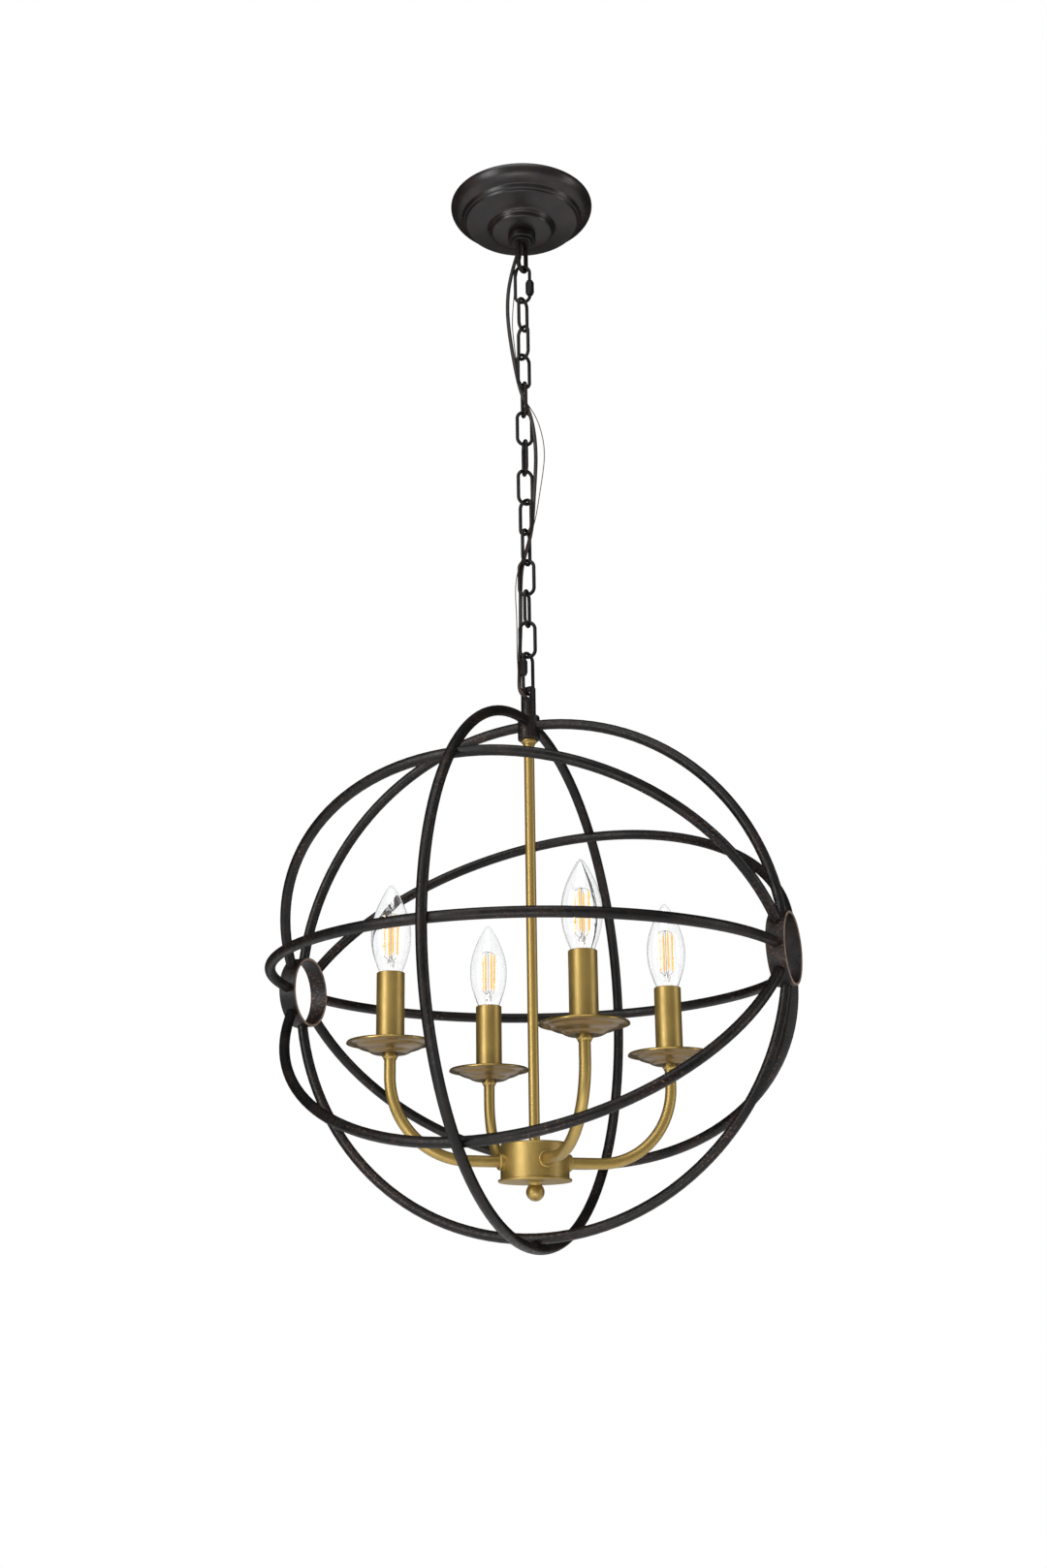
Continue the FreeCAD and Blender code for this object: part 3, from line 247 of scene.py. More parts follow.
# ---------------------------------------------------------------- materials
def bronze_material(name, deep, warm, copper, fleck, grain, rough_low, rough_high, pit, shine=1.33, rim=None):
    """Hand-rubbed dark bronze paint: nearly black, with brown clouds, copper flecks and a pebbled sheen."""
    material, nodes, links = new_material(name)
    coords = nodes.new("ShaderNodeTexCoord").outputs["Object"]
    clouds = noise(nodes, links, coords, 38.0, 5.0, 0.6)
    colour = mix(nodes, links, fade(nodes, links, clouds, 0.42, 0.68), deep, warm)
    specks = noise(nodes, links, coords, grain, 6.0, 0.7)
    mask = fade(nodes, links, specks, fleck, fleck + 0.07)
    where = fade(nodes, links, noise(nodes, links, coords, 14.0, 3.0), 0.48, 0.66)
    flecks = mix(nodes, links, 1.0, mask, where, "MULTIPLY")
    colour = mix(nodes, links, flecks, colour, copper)
    # Rims painted lighter: partly rubbed wear, partly a painted highlight on the rim's edge.
    if rim:
        colour = mix(nodes, links, end_faces(nodes, links, coords), colour, rim)
    sheen = noise(nodes, links, coords, 260.0, 3.0, 0.6)
    rough = fade(nodes, links, sheen, 0.32, 0.70, rough_low, rough_high)
    pebbles = noise(nodes, links, coords, 520.0, 2.0, 0.5)
    dents = noise(nodes, links, coords, 130.0, 2.0, 0.5)
    normal = bump(nodes, links, dents, pit * 0.6, 0.0006)
    normal = bump(nodes, links, pebbles, pit, 0.0003, normal)
    return finish_material(material, nodes, links, colour, rough, normal, 0.2, IOR=shine)


def brass_material(name, base, deep, pale, rough_low, rough_high, coat, coat_rough, flow=None,
                   grain_depth=0.12, underside_shade=None):
    """Satin brass lacquer over metal, with a fine spray grain and soft clouding."""
    material, nodes, links = new_material(name)
    coords = nodes.new("ShaderNodeTexCoord").outputs["Object"]
    clouds = noise(nodes, links, coords, 26.0, 4.0, 0.55, flow)
    colour = mix(nodes, links, fade(nodes, links, clouds, 0.35, 0.70), deep, base)
    dust = noise(nodes, links, coords, 1500.0, 2.0, 0.5)
    colour = mix(nodes, links, fade(nodes, links, dust, 0.58, 0.74, 0.0, 0.35), colour, pale)
    # Faces that look down are painted darker: a painted shade under the dish.
    if underside_shade:
        colour = mix(nodes, links, shade_on_low_faces(nodes, links), colour, underside_shade)
    sheen = noise(nodes, links, coords, 90.0, 3.0, 0.6, flow)
    rough = fade(nodes, links, sheen, 0.30, 0.72, rough_low, rough_high)
    grain = noise(nodes, links, coords, 2200.0, 2.0, 0.5)
    normal = bump(nodes, links, grain, grain_depth, 0.0001)
    return finish_material(material, nodes, links, colour, rough, normal, 0.92,
                           Coat_Weight=coat, Coat_Roughness=coat_rough)


def plain_material(name, first, second, scale, rough_low, rough_high, metallic, **more):
    """One colour that clouds softly into another, with a fine grain."""
    material, nodes, links = new_material(name)
    coords = nodes.new("ShaderNodeTexCoord").outputs["Object"]
    cloud = noise(nodes, links, coords, scale, 4.0, 0.6)
    colour = ramp(nodes, links, cloud, [(0.35, first), (0.68, second)])
    sheen = noise(nodes, links, coords, scale * 3.1, 3.0, 0.6)
    rough = fade(nodes, links, sheen, 0.3, 0.7, rough_low, rough_high)
    normal = bump(nodes, links, noise(nodes, links, coords, scale * 6.0, 2.0, 0.5), 0.2, 0.0002)
    return finish_material(material, nodes, links, colour, rough, normal, metallic, **more)


def glass_material(name, ior):
    """Clear blown glass with the faintest waviness."""
    material, nodes, links = new_material(name)
    coords = nodes.new("ShaderNodeTexCoord").outputs["Object"]
    wave = noise(nodes, links, coords, 70.0, 2.0, 0.4)
    rough = fade(nodes, links, wave, 0.3, 0.8, 0.0, 0.015)
    colour = ramp(nodes, links, wave, [(0.3, (0.985, 0.992, 0.996)), (0.8, (0.996, 0.998, 1.0))])
    normal = bump(nodes, links, wave, 0.02, 0.0001)
    return finish_material(material, nodes, links, colour, rough, normal, 0.0,
                           Transmission_Weight=1.0, IOR=ior)


BRONZE = bronze_material("bronze", deep=(0.0019, 0.0016, 0.0015), warm=(0.0085, 0.0056, 0.0043),
                         copper=(0.110, 0.050, 0.027), fleck=0.570, grain=420.0,
                         rough_low=0.32, rough_high=0.54, pit=0.40)
# The side collars' bronze, with rims painted lighter: partly rubbed wear, partly a painted highlight.
COLLAR_BRONZE = bronze_material("collar_bronze", deep=(0.0026, 0.0021, 0.0019), warm=(0.0105, 0.0068, 0.0050),
                                copper=(0.120, 0.052, 0.027), fleck=0.560, grain=420.0,
                                rough_low=0.32, rough_high=0.54, pit=0.40, rim=(0.235, 0.165, 0.130))
# The canopy's copy of the bronze, paler and browner than the rest: a painted brown sheen.
CANOPY_PAINTED_SHEEN_BRONZE = bronze_material("canopy_bronze_painted_sheen", deep=(0.0056, 0.0045, 0.0044), warm=(0.0150, 0.0102, 0.0084),
                                copper=(0.030, 0.019, 0.014), fleck=0.66, grain=260.0,
                                rough_low=0.30, rough_high=0.36, pit=0.02, shine=1.42)
CHAIN_BRONZE = bronze_material("chain_bronze", deep=(0.0018, 0.0015, 0.0014), warm=(0.0068, 0.0046, 0.0035),
                               copper=(0.110, 0.045, 0.024), fleck=0.580, grain=600.0,
                               rough_low=0.34, rough_high=0.52, pit=0.30, shine=1.31)
SATIN = dict(base=(0.325, 0.222, 0.055), deep=(0.270, 0.178, 0.042), pale=(0.42, 0.33, 0.13),
             rough_low=0.42, rough_high=0.52, coat=0.50, coat_rough=0.38)
BRASS = brass_material("brass", **SATIN)
BRASS_TUBE = brass_material("brass_tube", flow=(1.0, 1.0, 0.15), **SATIN)
# The dishes' brass, with a painted shade on their undersides.
BRASS_DISH = brass_material("brass_dish", base=(0.300, 0.205, 0.052), deep=(0.250, 0.165, 0.040),
                            pale=(0.36, 0.27, 0.10), rough_low=0.28, rough_high=0.33, coat=0.25,
                            coat_rough=0.14, grain_depth=0.02, underside_shade=(0.140, 0.087, 0.026))
ZINC = plain_material("zinc", (0.42, 0.42, 0.40), (0.62, 0.61, 0.56), scale=140.0,
                      rough_low=0.30, rough_high=0.46, metallic=0.95)
CORD_SKIN = plain_material("cord_skin", (0.010, 0.009, 0.008), (0.022, 0.017, 0.014), scale=420.0,
                           rough_low=0.42, rough_high=0.60, metallic=0.0, IOR=1.33)
EARTH_SKIN = plain_material("earth_skin", (0.045, 0.024, 0.015), (0.11, 0.055, 0.032), scale=600.0,
                            rough_low=0.30, rough_high=0.48, metallic=0.85)
SOCKET_SKIN = plain_material("socket_skin", (0.014, 0.014, 0.014), (0.030, 0.029, 0.028), scale=120.0,
                             rough_low=0.45, rough_high=0.62, metallic=0.0)
LEAD_SKIN = plain_material("lead_skin", (0.020, 0.018, 0.017), (0.040, 0.036, 0.032), scale=240.0,
                           rough_low=0.5, rough_high=0.66, metallic=0.0)
GLASS = glass_material("bulb_glass", 1.46)
CAP_METAL = plain_material("cap_metal", (0.50, 0.48, 0.44), (0.68, 0.65, 0.58), scale=260.0,
                           rough_low=0.22, rough_high=0.36, metallic=1.0)
WIRE_METAL = plain_material("wire_metal", (0.14, 0.13, 0.12), (0.28, 0.26, 0.24), scale=900.0,
                            rough_low=0.28, rough_high=0.42, metallic=0.9)
PHOSPHOR = plain_material("phosphor", (0.92, 0.44, 0.060), (0.97, 0.52, 0.09), scale=800.0,
                          rough_low=0.45, rough_high=0.62, metallic=0.0,
                          Emission_Color=(1.0, 0.46, 0.060, 1.0), Emission_Strength=0.28)


def dress(material, *names):
    for name in names:
        slots = NODES[name].data.materials
        if not slots:
            slots.append(material)
        for index in range(len(slots)):
            slots[index] = material


LINKS = ["chain_link_%02d" % (index + 1) for index in range(LINK_COUNT)]
dress(BRONZE, "ring_outer", "ring_upright", "ring_level", "ring_lean_front", "ring_lean_back", "top_hub")
dress(COLLAR_BRONZE, "side_collar_left", "side_collar_right")
dress(CHAIN_BRONZE, "screw_collar", "canopy_loop", "quick_link_top", "quick_link_bottom", "sleeve_nut_top",
      "sleeve_nut_bottom", "hub_loop", *LINKS)
dress(BRASS, "stem_flange", "cluster_body", "cluster_cap", "finial", "arm_collars", "arm_nuts",
      "candle_sleeves")
dress(BRASS_TUBE, "stem_rod", "arm_1", "arm_2", "arm_3", "arm_4")
dress(BRASS_DISH, "bobeches")
dress(ZINC, "crossbar", "ceiling_nipple", "nipple_nuts", "cluster_nuts")
dress(SOCKET_SKIN, "lamp_sockets")
dress(LEAD_SKIN, "stem_leads", "lamp_leads")


# ---------------------------------------------------------------- mesh helpers
def add_piece(name, mesh_data, material):
    piece = bpy.data.objects.new(name, mesh_data)
    bpy.context.collection.objects.link(piece)
    mesh_data.materials.append(material)
    return piece


def mesh_from(name, points, faces, flat_faces=()):
    """A smooth mesh, with the faces numbered in flat_faces kept flat."""
    mesh = bpy.data.meshes.new(name)
    mesh.from_pydata([tuple(p) for p in points], [], faces)
    mesh.validate()
    flat = set(flat_faces)
    for index, polygon in enumerate(mesh.polygons):
        polygon.use_smooth = index not in flat
    mesh.update()
    return mesh


def lathe(outline, steps, centre=(0.0, 0.0), closed=True):
    """Points and faces of an outline of (r, z), turned about a vertical line. Zero radii are one point."""
    points = []
    rings = []
    for radius, z in outline:
        if radius < 1e-7:
            rings.append([len(points)])
            points.append((centre[0], centre[1], z))
            continue
        rings.append(list(range(len(points), len(points) + steps)))
        for step in range(steps):
            angle = 2 * math.pi * step / steps
            points.append((centre[0] + radius * math.cos(angle), centre[1] + radius * math.sin(angle), z))
    faces = []
    pairs = list(zip(rings, rings[1:]))
    if closed:
        pairs.append((rings[-1], rings[0]))
    for low, high in pairs:
        for step in range(steps):
            after = (step + 1) % steps
            corners = [low[step % len(low)], low[after % len(low)],
                       high[after % len(high)], high[step % len(high)]]
            kept = [c for i, c in enumerate(corners) if c not in corners[:i]]
            if len(kept) > 2:
                faces.append(kept)
    return points, faces


def tube(path, radius, sides):
    """Points and faces of a round tube along a path, with flat ends, and the numbers of its end faces."""
    path = [Vector(p) for p in path]
    points = []
    normal = None
    for index, here in enumerate(path):
        along = (path[min(index + 1, len(path) - 1)] - path[max(index - 1, 0)]).normalized()
        if normal is None:
            normal = along.cross(Vector((0.31, 0.95, 0.0))).normalized()
        normal = (normal - along * normal.dot(along)).normalized()
        side = along.cross(normal)
        size = radius(index / (len(path) - 1)) if callable(radius) else radius
        for step in range(sides):
            angle = 2 * math.pi * step / sides
            points.append(here + normal * (size * math.cos(angle)) + side * (size * math.sin(angle)))
    faces = []
    for ring in range(len(path) - 1):
        for step in range(sides):
            after = (step + 1) % sides
            start = ring * sides
            faces.append([start + step, start + after, start + sides + after, start + sides + step])
    ends = [len(faces), len(faces) + 1]
    faces.append(list(reversed(range(sides))))
    faces.append(list(range(len(points) - sides, len(points))))
    return points, faces, ends


def join(parts):
    """One list of points and faces from several."""
    points = []
    faces = []
    flat = []
    for part in parts:
        offset = len(points)
        first = len(faces)
        points += list(part[0])
        faces += [[c + offset for c in face] for face in part[1]]
        flat += [first + f for f in (part[2] if len(part) > 2 else ())]
    return points, faces, flat


# ---------------------------------------------------------------- supply cord and earth wire
def placed(route):
    across = Vector((math.cos(VIEW_TURN), math.sin(VIEW_TURN), 0.0))
    behind = Vector((-across.y, across.x, 0.0))
    return [across * right + behind * back + Vector((0.0, 0.0, z)) for right, back, z in route]


def smooth_line(name, points):
    """Points along a NURBS spline that has these control points."""
    curve = bpy.data.curves.new(name, "CURVE")
    curve.dimensions = "3D"
    curve.resolution_u = 8
    spline = curve.splines.new("NURBS")
    spline.points.add(len(points) - 1)
    for target, point in zip(spline.points, points):
        target.co = (*point, 1.0)
    spline.order_u = 3
    spline.use_endpoint_u = True
    carrier = bpy.data.objects.new(name, curve)
    bpy.context.collection.objects.link(carrier)
    bpy.context.view_layer.update()
    mesh = bpy.data.meshes.new_from_object(carrier)
    line = [v.co.copy() for v in mesh.vertices]
    bpy.data.objects.remove(carrier)
    bpy.data.meshes.remove(mesh)
    return line


CHAIN_BODIES = ["ceiling", "quick_top"]
CHAIN_BODIES += ["link_%02d" % (k + 1) for k in range(LINK_COUNT)]
CHAIN_BODIES += ["quick_bottom", "fixture"]
PIVOTS = [EYE_Z, QUICK_TOP_END_Z]
PIVOTS += [FIRST_LINK_Z - LINK_REACH - k * LINK_PITCH for k in range(LINK_COUNT)]
PIVOTS.append(QUICK_BOTTOM_END_Z)
CUTS = [(high + low) / 2 for high, low in zip(PIVOTS, PIVOTS[1:])]


def cut_line(line):
    """The line in stretches between the middles of the chain's bodies. Neighbours share their end point."""
    stretches = []
    current = [line[0]]
    levels = CUTS + [-10.0]
    for here, there in zip(line, line[1:]):
        while there.z < levels[0] < here.z:
            share = (here.z - levels[0]) / (here.z - there.z)
            point = here.lerp(there, share)
            current.append(point)
            stretches.append(current)
            current = [point]
            here = point
            levels = levels[1:]
        current.append(there)
    stretches.append(current)
    return stretches


def add_cord(name, node, route, diameter, sides, material):
    """One cord as a row of stretches, cut between the middles of the chain's bodies."""
    stretches = cut_line(smooth_line(name + "_line", placed(route)))
    for index, path in enumerate(stretches):
        kept = [path[0]]
        for point in path[1:]:
            if (point - kept[-1]).length > 0.0004:
                kept.append(point)
        kept[-1] = path[-1]
        points, faces, ends = tube(kept, diameter / 2, sides)
        piece = add_piece("%s_%02d" % (name, index + 1), mesh_from(name, points, faces, ends), material)
        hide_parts(node)
        high, low = kept[0].z, kept[-1].z
        if index == 0:
            high = 2 * PIVOTS[0] - low
        if index == len(stretches) - 1:
            low = 2 * PIVOTS[-1] - high
        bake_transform(piece)


add_cord("cord", "supply_cord", CORD_ROUTE, CORD_DIAMETER, 20, CORD_SKIN)
add_cord("earth", "earth_wire", EARTH_ROUTE, EARTH_DIAMETER, 10, EARTH_SKIN)


# ---------------------------------------------------------------- canopy
# The canopy from its rim against the ceiling down and in to its hole: a deep ogee and two beaded steps.
CANOPY_OUTSIDE = (
    (0.0696, -0.0001), (0.0706, -0.0002), (0.0713, -0.0013), (0.0716, -0.0032), (0.0713, -0.0056),
    (0.0702, -0.0083), (0.0682, -0.0109), (0.0656, -0.0130), (0.0628, -0.0144), (0.0610, -0.0151),
    (0.0600, -0.0159), (0.0596, -0.0171), (0.0592, -0.0184), (0.0586, -0.0193), (0.0579, -0.0196),
    (0.0575, -0.0201), (0.0572, -0.0212), (0.0565, -0.0221), (0.0551, -0.0226), (0.0520, -0.0229),
    (0.0460, -0.0236), (0.0400, -0.0243), (0.0362, -0.0248), (0.0343, -0.0253), (0.0331, -0.0262),
    (0.0325, -0.0272), (0.0320, -0.0279), (0.0315, -0.0284), (0.0312, -0.0296), (0.0310, -0.0312),
    (0.0303, -0.0326), (0.0287, -0.0333), (0.0240, -0.0339), (0.0180, -0.0345), (0.0114, -0.0349),
)
CANOPY_SHEET = 0.0010


def smooth_profile(points, count):
    """A Catmull-Rom curve through outline points."""
    data = [np.array(p, float) for p in points]
    data = [2 * data[0] - data[1]] + data + [2 * data[-1] - data[-2]]
    result = []
    for a, b, c, d in zip(data, data[1:], data[2:], data[3:]):
        for t in np.arange(count) / count:
            result.append(0.5 * (2 * b + (c - a) * t + (2 * a - 5 * b + 4 * c - d) * t ** 2
                                 + (3 * b - a - 3 * c + d) * t ** 3))
    result.append(data[-2])
    return [(float(r), float(z)) for r, z in result]


def beside(profile, distance):
    """The outline moved to the left of its own way by a distance."""
    result = []
    for index, (radius, z) in enumerate(profile):
        ahead = profile[min(index + 1, len(profile) - 1)]
        behind = profile[max(index - 1, 0)]
        dr, dz = ahead[0] - behind[0], ahead[1] - behind[1]
        size = math.hypot(dr, dz)
        result.append((radius - distance * dz / size, z + distance * dr / size))
    return result


def canopy_mesh():
    outside = smooth_profile(CANOPY_OUTSIDE, 4)
    inside = beside(outside, -CANOPY_SHEET)
    inside = [(max(r, CANOPY_OUTSIDE[-1][0]), min(z, CANOPY_OUTSIDE[0][1])) for r, z in inside]
    return mesh_from("canopy_spinning", *lathe(list(reversed(outside)) + inside, 160))


# The canopy in its bronze with the painted brown sheen.
canopy_piece = add_piece("canopy_spinning", canopy_mesh(), CANOPY_PAINTED_SHEEN_BRONZE)
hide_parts("canopy")
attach(canopy_piece, "ceiling")


# ---------------------------------------------------------------- dishes
DISH_FLOOR_Z = -0.87155
DISH_HOLE = 0.00503
DISH_SHEET = 0.0009
# The dish from its hole out and up to its turned-down rim, as seen from above.
DISH_TOP = (
    (DISH_HOLE, 0.0), (0.0134, 0.0), (0.0150, 0.0003), (0.0164, 0.0009), (0.0181, 0.0019),
    (0.0192, 0.0026), (0.0206, 0.0031), (0.0228, 0.0037), (0.0252, 0.0045), (0.0274, 0.0055),
    (0.0291, 0.0067), (0.0300, 0.0074), (0.0312, 0.0078), (0.0332, 0.0086), (0.0350, 0.0097),
    (0.0360, 0.0101), (0.0369, 0.0099), (0.0376, 0.0090), (0.0378, 0.0080),
)


def dish_piece(centre):
    """A spun dish of thin sheet with its two soft steps."""
    upper = smooth_profile(DISH_TOP, 4)
    lower = [(min(max(r, DISH_HOLE), DISH_TOP[-1][0]), z) for r, z in beside(upper, -DISH_SHEET)]
    return lathe([(r, DISH_FLOOR_Z + z) for r, z in lower + upper[::-1]], 112, centre)


# ---------------------------------------------------------------- bulbs
# The glass outline: height above the candle tube's top against radius.
GLASS_OUTLINE = (
    (-0.0092, 0.0086), (-0.0060, 0.0087), (0.0, 0.0098), (0.0055, 0.0119), (0.0120, 0.0142),
    (0.0220, 0.0166), (0.0330, 0.0175), (0.0450, 0.01625), (0.0570, 0.0127), (0.0660, 0.0087),
    (0.0720, 0.0056), (0.0760, 0.0031), (0.0779, 0.0014), (0.0785, 0.0),
)
FILAMENT_SPREAD = 0.0060
FILAMENT_LOW = 0.0152
FILAMENT_HIGH = 0.0510
FILAMENT_TURNS = (-16.0, 14.0, 28.0, 18.0)
STRIP_RADIUS = 0.00090
STRIP_LEAN = 0.00035
PRESS_Z = SLEEVE_TOP_Z + 0.0090      # near where the wires leave the glass foot
WIRE_SPREAD = 0.0016                 # how far from the middle they leave it
FOOT_WIRE_RADIUS = 0.00022
TOP_WIRE_RADIUS = 0.00020
SUPPORT_RADIUS = 0.00024
WIRE_SIDES = 8
THREAD_PITCH = 0.0030
THREAD_STEPS = ((0.25, 0.00020), (0.5, 0.00052), (0.75, 0.00020), (1.0, 0.0))
# The glass foot: radius against height above the base's top.
MOUNT_OUTLINE = (
    (0.0, 0.0), (0.0072, 0.0), (0.0070, 0.0010), (0.0046, 0.0035), (0.0034, 0.0080),
    (0.0031, 0.0130), (0.0030, 0.0165), (0.0034, 0.0182), (0.0030, 0.0199), (0.0018, 0.0210),
    (0.0013, 0.0222), (0.0012, 0.0236), (0.0, 0.0240),
)


def spline_through(samples, count):
    """Points on a smooth curve through (z, r) samples, evenly spread along it."""
    data = np.array(samples)
    chord = np.concatenate([[0.0], np.cumsum(np.hypot(*np.diff(data, axis=0).T))])
    tangents = np.gradient(data, chord, axis=0)
    tangents[-1] = (0.0, -1.0)
    result = []
    for t in np.linspace(0.0, chord[-1], count):
        i = min(np.searchsorted(chord, t, side="right") - 1, len(data) - 2)
        h = chord[i + 1] - chord[i]
        u = (t - chord[i]) / h
        value = ((2 * u ** 3 - 3 * u ** 2 + 1) * data[i] + (u ** 3 - 2 * u ** 2 + u) * h * tangents[i]
                 + (3 * u ** 2 - 2 * u ** 3) * data[i + 1] + (u ** 3 - u ** 2) * h * tangents[i + 1])
        result.append((max(float(value[1]), 0.0), float(value[0])))
    result[-1] = (0.0, samples[-1][0])
    return result


def bulb_envelope(centre):
    """Blown glass with a wall: outside up to the tip, then inside back down."""
    outer = spline_through(GLASS_OUTLINE, 56)
    inner = []
    for index, (radius, z) in enumerate(outer[:-1]):
        ahead = outer[index + 1]
        behind = outer[max(index - 1, 0)]
        dr, dz = ahead[0] - behind[0], ahead[1] - behind[1]
        size = math.hypot(dr, dz)
        inside = radius - GLASS_WALL * dz / size
        if inside > 0.0002:
            inner.append((inside, z + GLASS_WALL * dr / size))
    inner.append((0.0, outer[-1][1] - GLASS_WALL))
    return lathe([(r, SLEEVE_TOP_Z + z) for r, z in outer + inner[::-1]], 72, centre)


def filament_places(centre, turn):
    for k in range(4):
        angle = math.radians(turn + 90 * k) + VIEW_TURN
        x = centre[0] + FILAMENT_SPREAD * math.cos(angle)
        y = centre[1] + FILAMENT_SPREAD * math.sin(angle)
        yield x, y, angle


def bulb_mount(centre):
    """The glass foot inside a bulb: a flare, a pinched press and the sealed pumping tube."""
    return lathe([(r, BASE_TOP_Z + z) for r, z in MOUNT_OUTLINE], 32, centre, closed=False)


def bulb_wires(centre, turn):
    """Wires from the press to each strip's foot, wires from its top, and the support in the middle."""
    low = SLEEVE_TOP_Z + FILAMENT_LOW
    high = SLEEVE_TOP_Z + FILAMENT_HIGH
    parts = []
    places = list(filament_places(centre, turn))
    for x, y, angle in places:
        near_x = centre[0] + WIRE_SPREAD * math.cos(angle)
        near_y = centre[1] + WIRE_SPREAD * math.sin(angle)
        path = [(near_x, near_y, PRESS_Z - 0.004), (near_x, near_y, PRESS_Z + 0.0015),
                (near_x * 0.5 + x * 0.5, near_y * 0.5 + y * 0.5, PRESS_Z + 0.0040),
                (x, y, low - 0.0014), (x, y, low + 0.0006)]
        parts.append(tube(rounded(path, 5), FOOT_WIRE_RADIUS, WIRE_SIDES))
    top = high + 0.0014
    hub = (centre[0], centre[1], top + 0.0009)
    for x, y, angle in places:
        parts.append(tube(rounded([(x, y, high - 0.0006), (x, y, top), hub], 5), TOP_WIRE_RADIUS, WIRE_SIDES))
    support = [(centre[0], centre[1], SLEEVE_TOP_Z + 0.0128), (centre[0], centre[1], top + 0.0011)]
    parts.append(tube(support, SUPPORT_RADIUS, WIRE_SIDES))
    return join(parts)


def rounded(points, count):
    """A quadratic B-spline through the middles of the runs, for thin bent wires."""
    points = [np.array(p, float) for p in points]
    if len(points) < 3:
        return [tuple(p) for p in points]
    result = [points[0]]
    for index in range(1, len(points) - 1):
        start = points[0] if index == 1 else (points[index - 1] + points[index]) / 2
        end = points[-1] if index == len(points) - 2 else (points[index] + points[index + 1]) / 2
        for t in np.linspace(0.0, 1.0, count)[1:]:
            result.append((1 - t) ** 2 * start + 2 * t * (1 - t) * points[index] + t ** 2 * end)
    return [tuple(p) for p in result]


def strip_radius(share):
    """A strip's radius along its length: even, and narrowed at both ends."""
    return STRIP_RADIUS * (1 - 0.75 * abs(2 * share - 1) ** 14)


def bulb_filaments(centre, turn):
    """Four thin light strips in their soft coating."""
    low = SLEEVE_TOP_Z + FILAMENT_LOW
    high = SLEEVE_TOP_Z + FILAMENT_HIGH
    parts = []
    for x, y, angle in filament_places(centre, turn):
        path = [(x + STRIP_LEAN * math.cos(angle) * share, y + STRIP_LEAN * math.sin(angle) * share,
                 low + (high - low) * share) for share in np.linspace(0.0, 1.0, 24)]
        parts.append(tube(path, strip_radius, 14))
    return join(parts)


def bulb_cap(centre):
    """The screw base, with its thread as rings, the step of its insulator and the contact button."""
    z = BASE_TOP_Z - 0.0020
    outline = [(0.0, BASE_TOP_Z), (BASE_RADIUS, BASE_TOP_Z), (BASE_RADIUS, z)]
    while z > BASE_Z + 0.0070:
        for share, sink in THREAD_STEPS:
            outline.append((BASE_RADIUS - sink, z - THREAD_PITCH * share))
        z -= THREAD_PITCH
    outline += [(BASE_RADIUS - 0.0002, BASE_Z + 0.0046), (0.0056, BASE_Z + 0.0032), (0.0040, BASE_Z + 0.0016),
                (0.0030, BASE_Z + 0.0010), (0.0024, BASE_Z + 0.0002), (0.0, BASE_Z)]
    return lathe(outline, 40, centre, closed=False)


def add_lamp(number, degrees, turn):
    """One lamp's dish and its bulb, with what shows through the glass."""
    middle = (LAMP_REACH * math.cos(math.radians(degrees)), LAMP_REACH * math.sin(math.radians(degrees)))
    dish = add_piece("dish_%d" % number, mesh_from("dish", *dish_piece(middle)), BRASS_DISH)
    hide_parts("bobeches")
    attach(dish, "fixture")
    bulb = "bulb_%d" % number
    envelope = add_piece(bulb + "_envelope", mesh_from("envelope", *bulb_envelope(middle)), GLASS)
    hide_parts("bulb_glass_%d" % number)
    cap = add_piece(bulb + "_cap", mesh_from("cap", *bulb_cap(middle)), CAP_METAL)
    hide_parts("bulb_base_%d" % number)
    mount = add_piece(bulb + "_mount", mesh_from("mount", *bulb_mount(middle)), GLASS)
    wires = add_piece(bulb + "_wires", mesh_from("wires", *bulb_wires(middle, turn)), WIRE_METAL)
    strips = add_piece(bulb + "_filaments", mesh_from("filaments", *bulb_filaments(middle, turn)), PHOSPHOR)
    for piece in (envelope, cap, mount, wires, strips):
        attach(piece, bulb)


for lamp_number, (lamp_degrees, strip_turn) in enumerate(zip(LAMP_TURNS, FILAMENT_TURNS), 1):
    add_lamp(lamp_number, lamp_degrees, strip_turn)


# ---------------------------------------------------------------- studio
def add_floor():
    """A pale round floor far below, with a soft upturned edge."""
    outline = [(0.0, -2.30), (2.6, -2.30), (3.4, -2.28), (3.8, -2.20)]
    points, faces = lathe(outline, 96, closed=False)
    floor = bpy.data.objects.new("floor", mesh_from("floor", points, faces))
    bpy.context.collection.objects.link(floor)
    material, nodes, links = new_material("floor")
    coords = nodes.new("ShaderNodeTexCoord").outputs["Object"]
    cloud = noise(nodes, links, coords, 1.5)
    colour = ramp(nodes, links, cloud, [(0.3, (0.86, 0.86, 0.86)), (0.7, (0.90, 0.90, 0.90))])
    rough = fade(nodes, links, cloud, 0.3, 0.7, 0.8, 0.9)
    floor.data.materials.append(finish_material(material, nodes, links, colour, rough, None, 0.0))


def add_softbox(name, place, aim, width, height, power):
    data = bpy.data.lights.new(name, "AREA")
    data.shape = "RECTANGLE"
    data.size = width
    data.size_y = height
    data.energy = power
    lamp = bpy.data.objects.new(name, data)
    bpy.context.collection.objects.link(lamp)
    facing = (Vector(aim) - Vector(place)).to_track_quat("-Z", "Y")
    lamp.matrix_world = Matrix.Translation(place) @ facing.to_matrix().to_4x4()


BRIGHT_SIDE = (0.33, -0.86, 0.39)      # towards the front and a little up


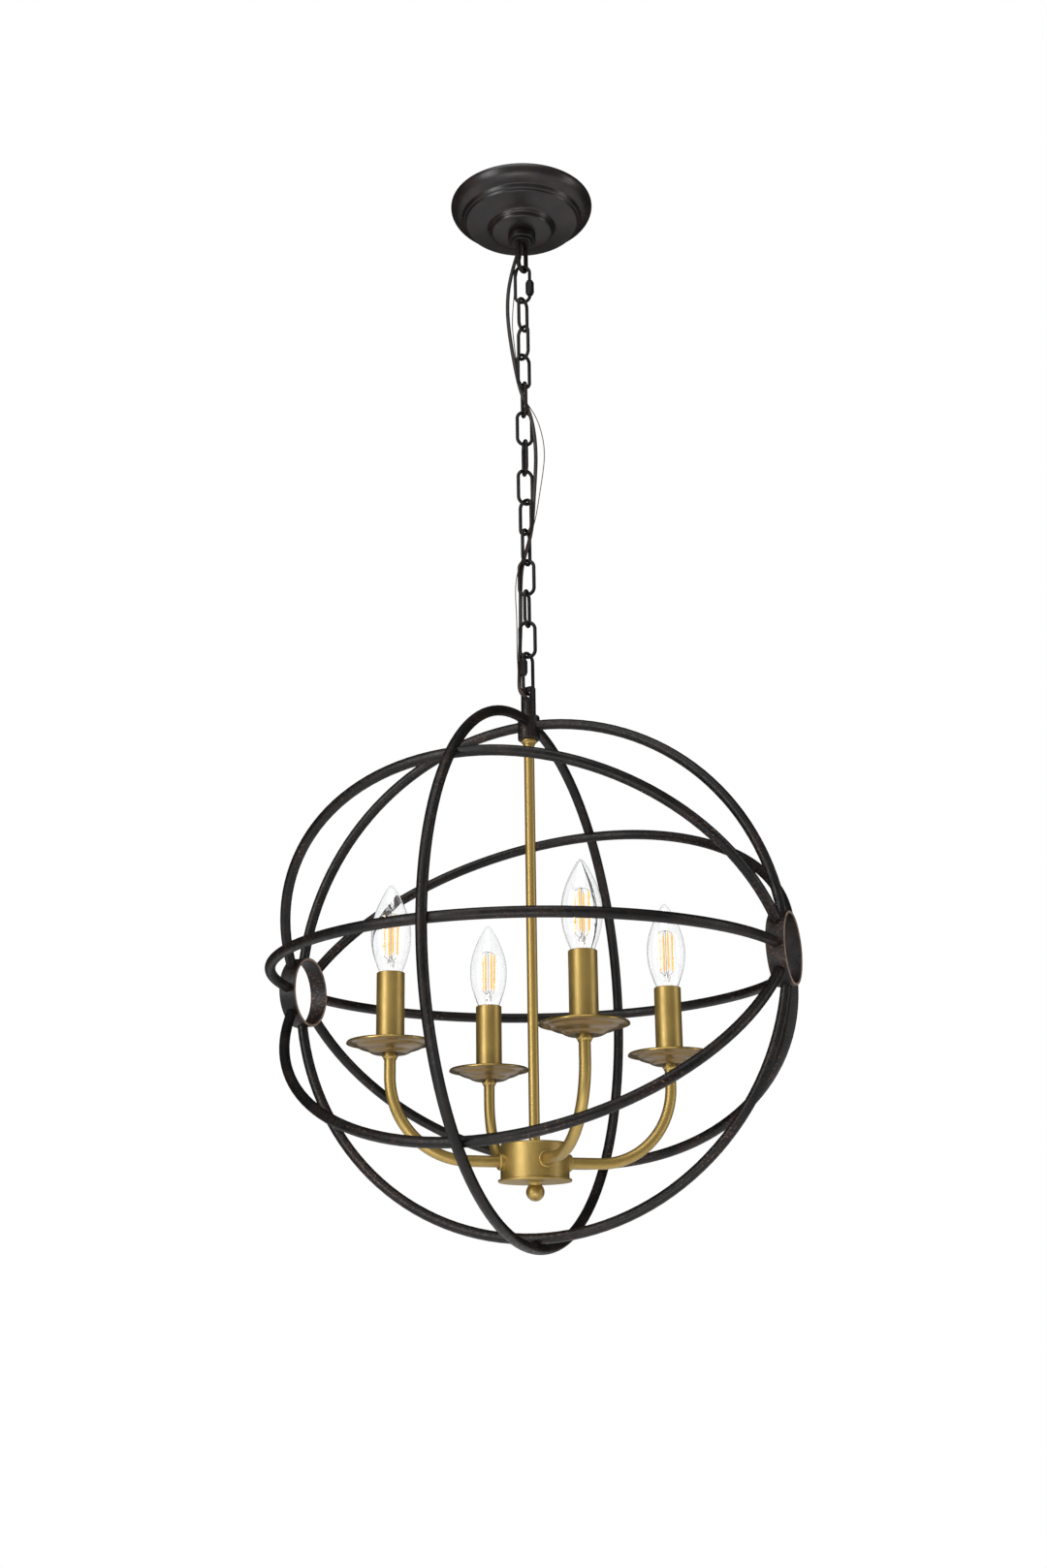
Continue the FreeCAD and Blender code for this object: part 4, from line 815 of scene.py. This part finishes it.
def add_world():
    """White all round, but in reflections dark except towards the front."""
    world = bpy.data.worlds.new("studio")
    bpy.context.scene.world = world
    world.use_nodes = True
    nodes, links = world.node_tree.nodes, world.node_tree.links
    nodes.clear()
    rays = nodes.new("ShaderNodeLightPath")
    bright = nodes.new("ShaderNodeBackground")
    bright.inputs["Color"].default_value = grey(1.0)
    bright.inputs["Strength"].default_value = 1.0
    dim = nodes.new("ShaderNodeBackground")
    coords = nodes.new("ShaderNodeTexCoord")
    facing = nodes.new("ShaderNodeVectorMath")
    facing.operation = "DOT_PRODUCT"
    facing.inputs[1].default_value = BRIGHT_SIDE
    links.new(coords.outputs["Generated"], facing.inputs[0])
    spread = nodes.new("ShaderNodeMapRange")
    spread.inputs["From Min"].default_value = -1.0
    spread.inputs["From Max"].default_value = 1.0
    links.new(facing.outputs["Value"], spread.inputs["Value"])
    links.new(ramp(nodes, links, spread.outputs["Result"],
                   [(0.0, grey(0.03)), (0.45, grey(0.015)), (0.72, grey(0.10)), (1.0, grey(0.50))]),
              dim.inputs["Color"])
    dim.inputs["Strength"].default_value = 1.0
    blend = nodes.new("ShaderNodeMixShader")
    output = nodes.new("ShaderNodeOutputWorld")
    through = nodes.new("ShaderNodeMath")
    through.operation = "SUBTRACT"
    through.use_clamp = True
    links.new(rays.outputs["Is Glossy Ray"], through.inputs[0])
    links.new(rays.outputs["Is Transmission Ray"], through.inputs[1])
    links.new(through.outputs[0], blend.inputs["Fac"])
    links.new(bright.outputs["Background"], blend.inputs[1])
    links.new(dim.outputs["Background"], blend.inputs[2])
    links.new(blend.outputs["Shader"], output.inputs["Surface"])


def add_lights():
    """Two tall softboxes, left and right of the camera, a low wide one in front and a broad one above."""
    turn = Matrix.Rotation(VIEW_TURN, 3, "Z")
    aim = Vector((0.0, 0.0, -0.72))
    for name, place, width, height, power in (
        ("softbox_left", (-1.7, -1.5, -0.35), 0.8, 2.4, 52.0),
        ("softbox_right", (2.2, -0.5, -0.5), 0.6, 2.2, 19.0),
        ("softbox_low", (-0.35, -1.7, -2.05), 1.3, 0.5, 15.0),
        ("softbox_top", (-0.3, -1.2, 1.6), 2.2, 1.4, 38.0),
    ):
        add_softbox(name, turn @ Vector(place), aim, width, height, power)


add_floor()
add_world()
add_lights()
bpy.context.scene.view_settings.view_transform = "Standard"
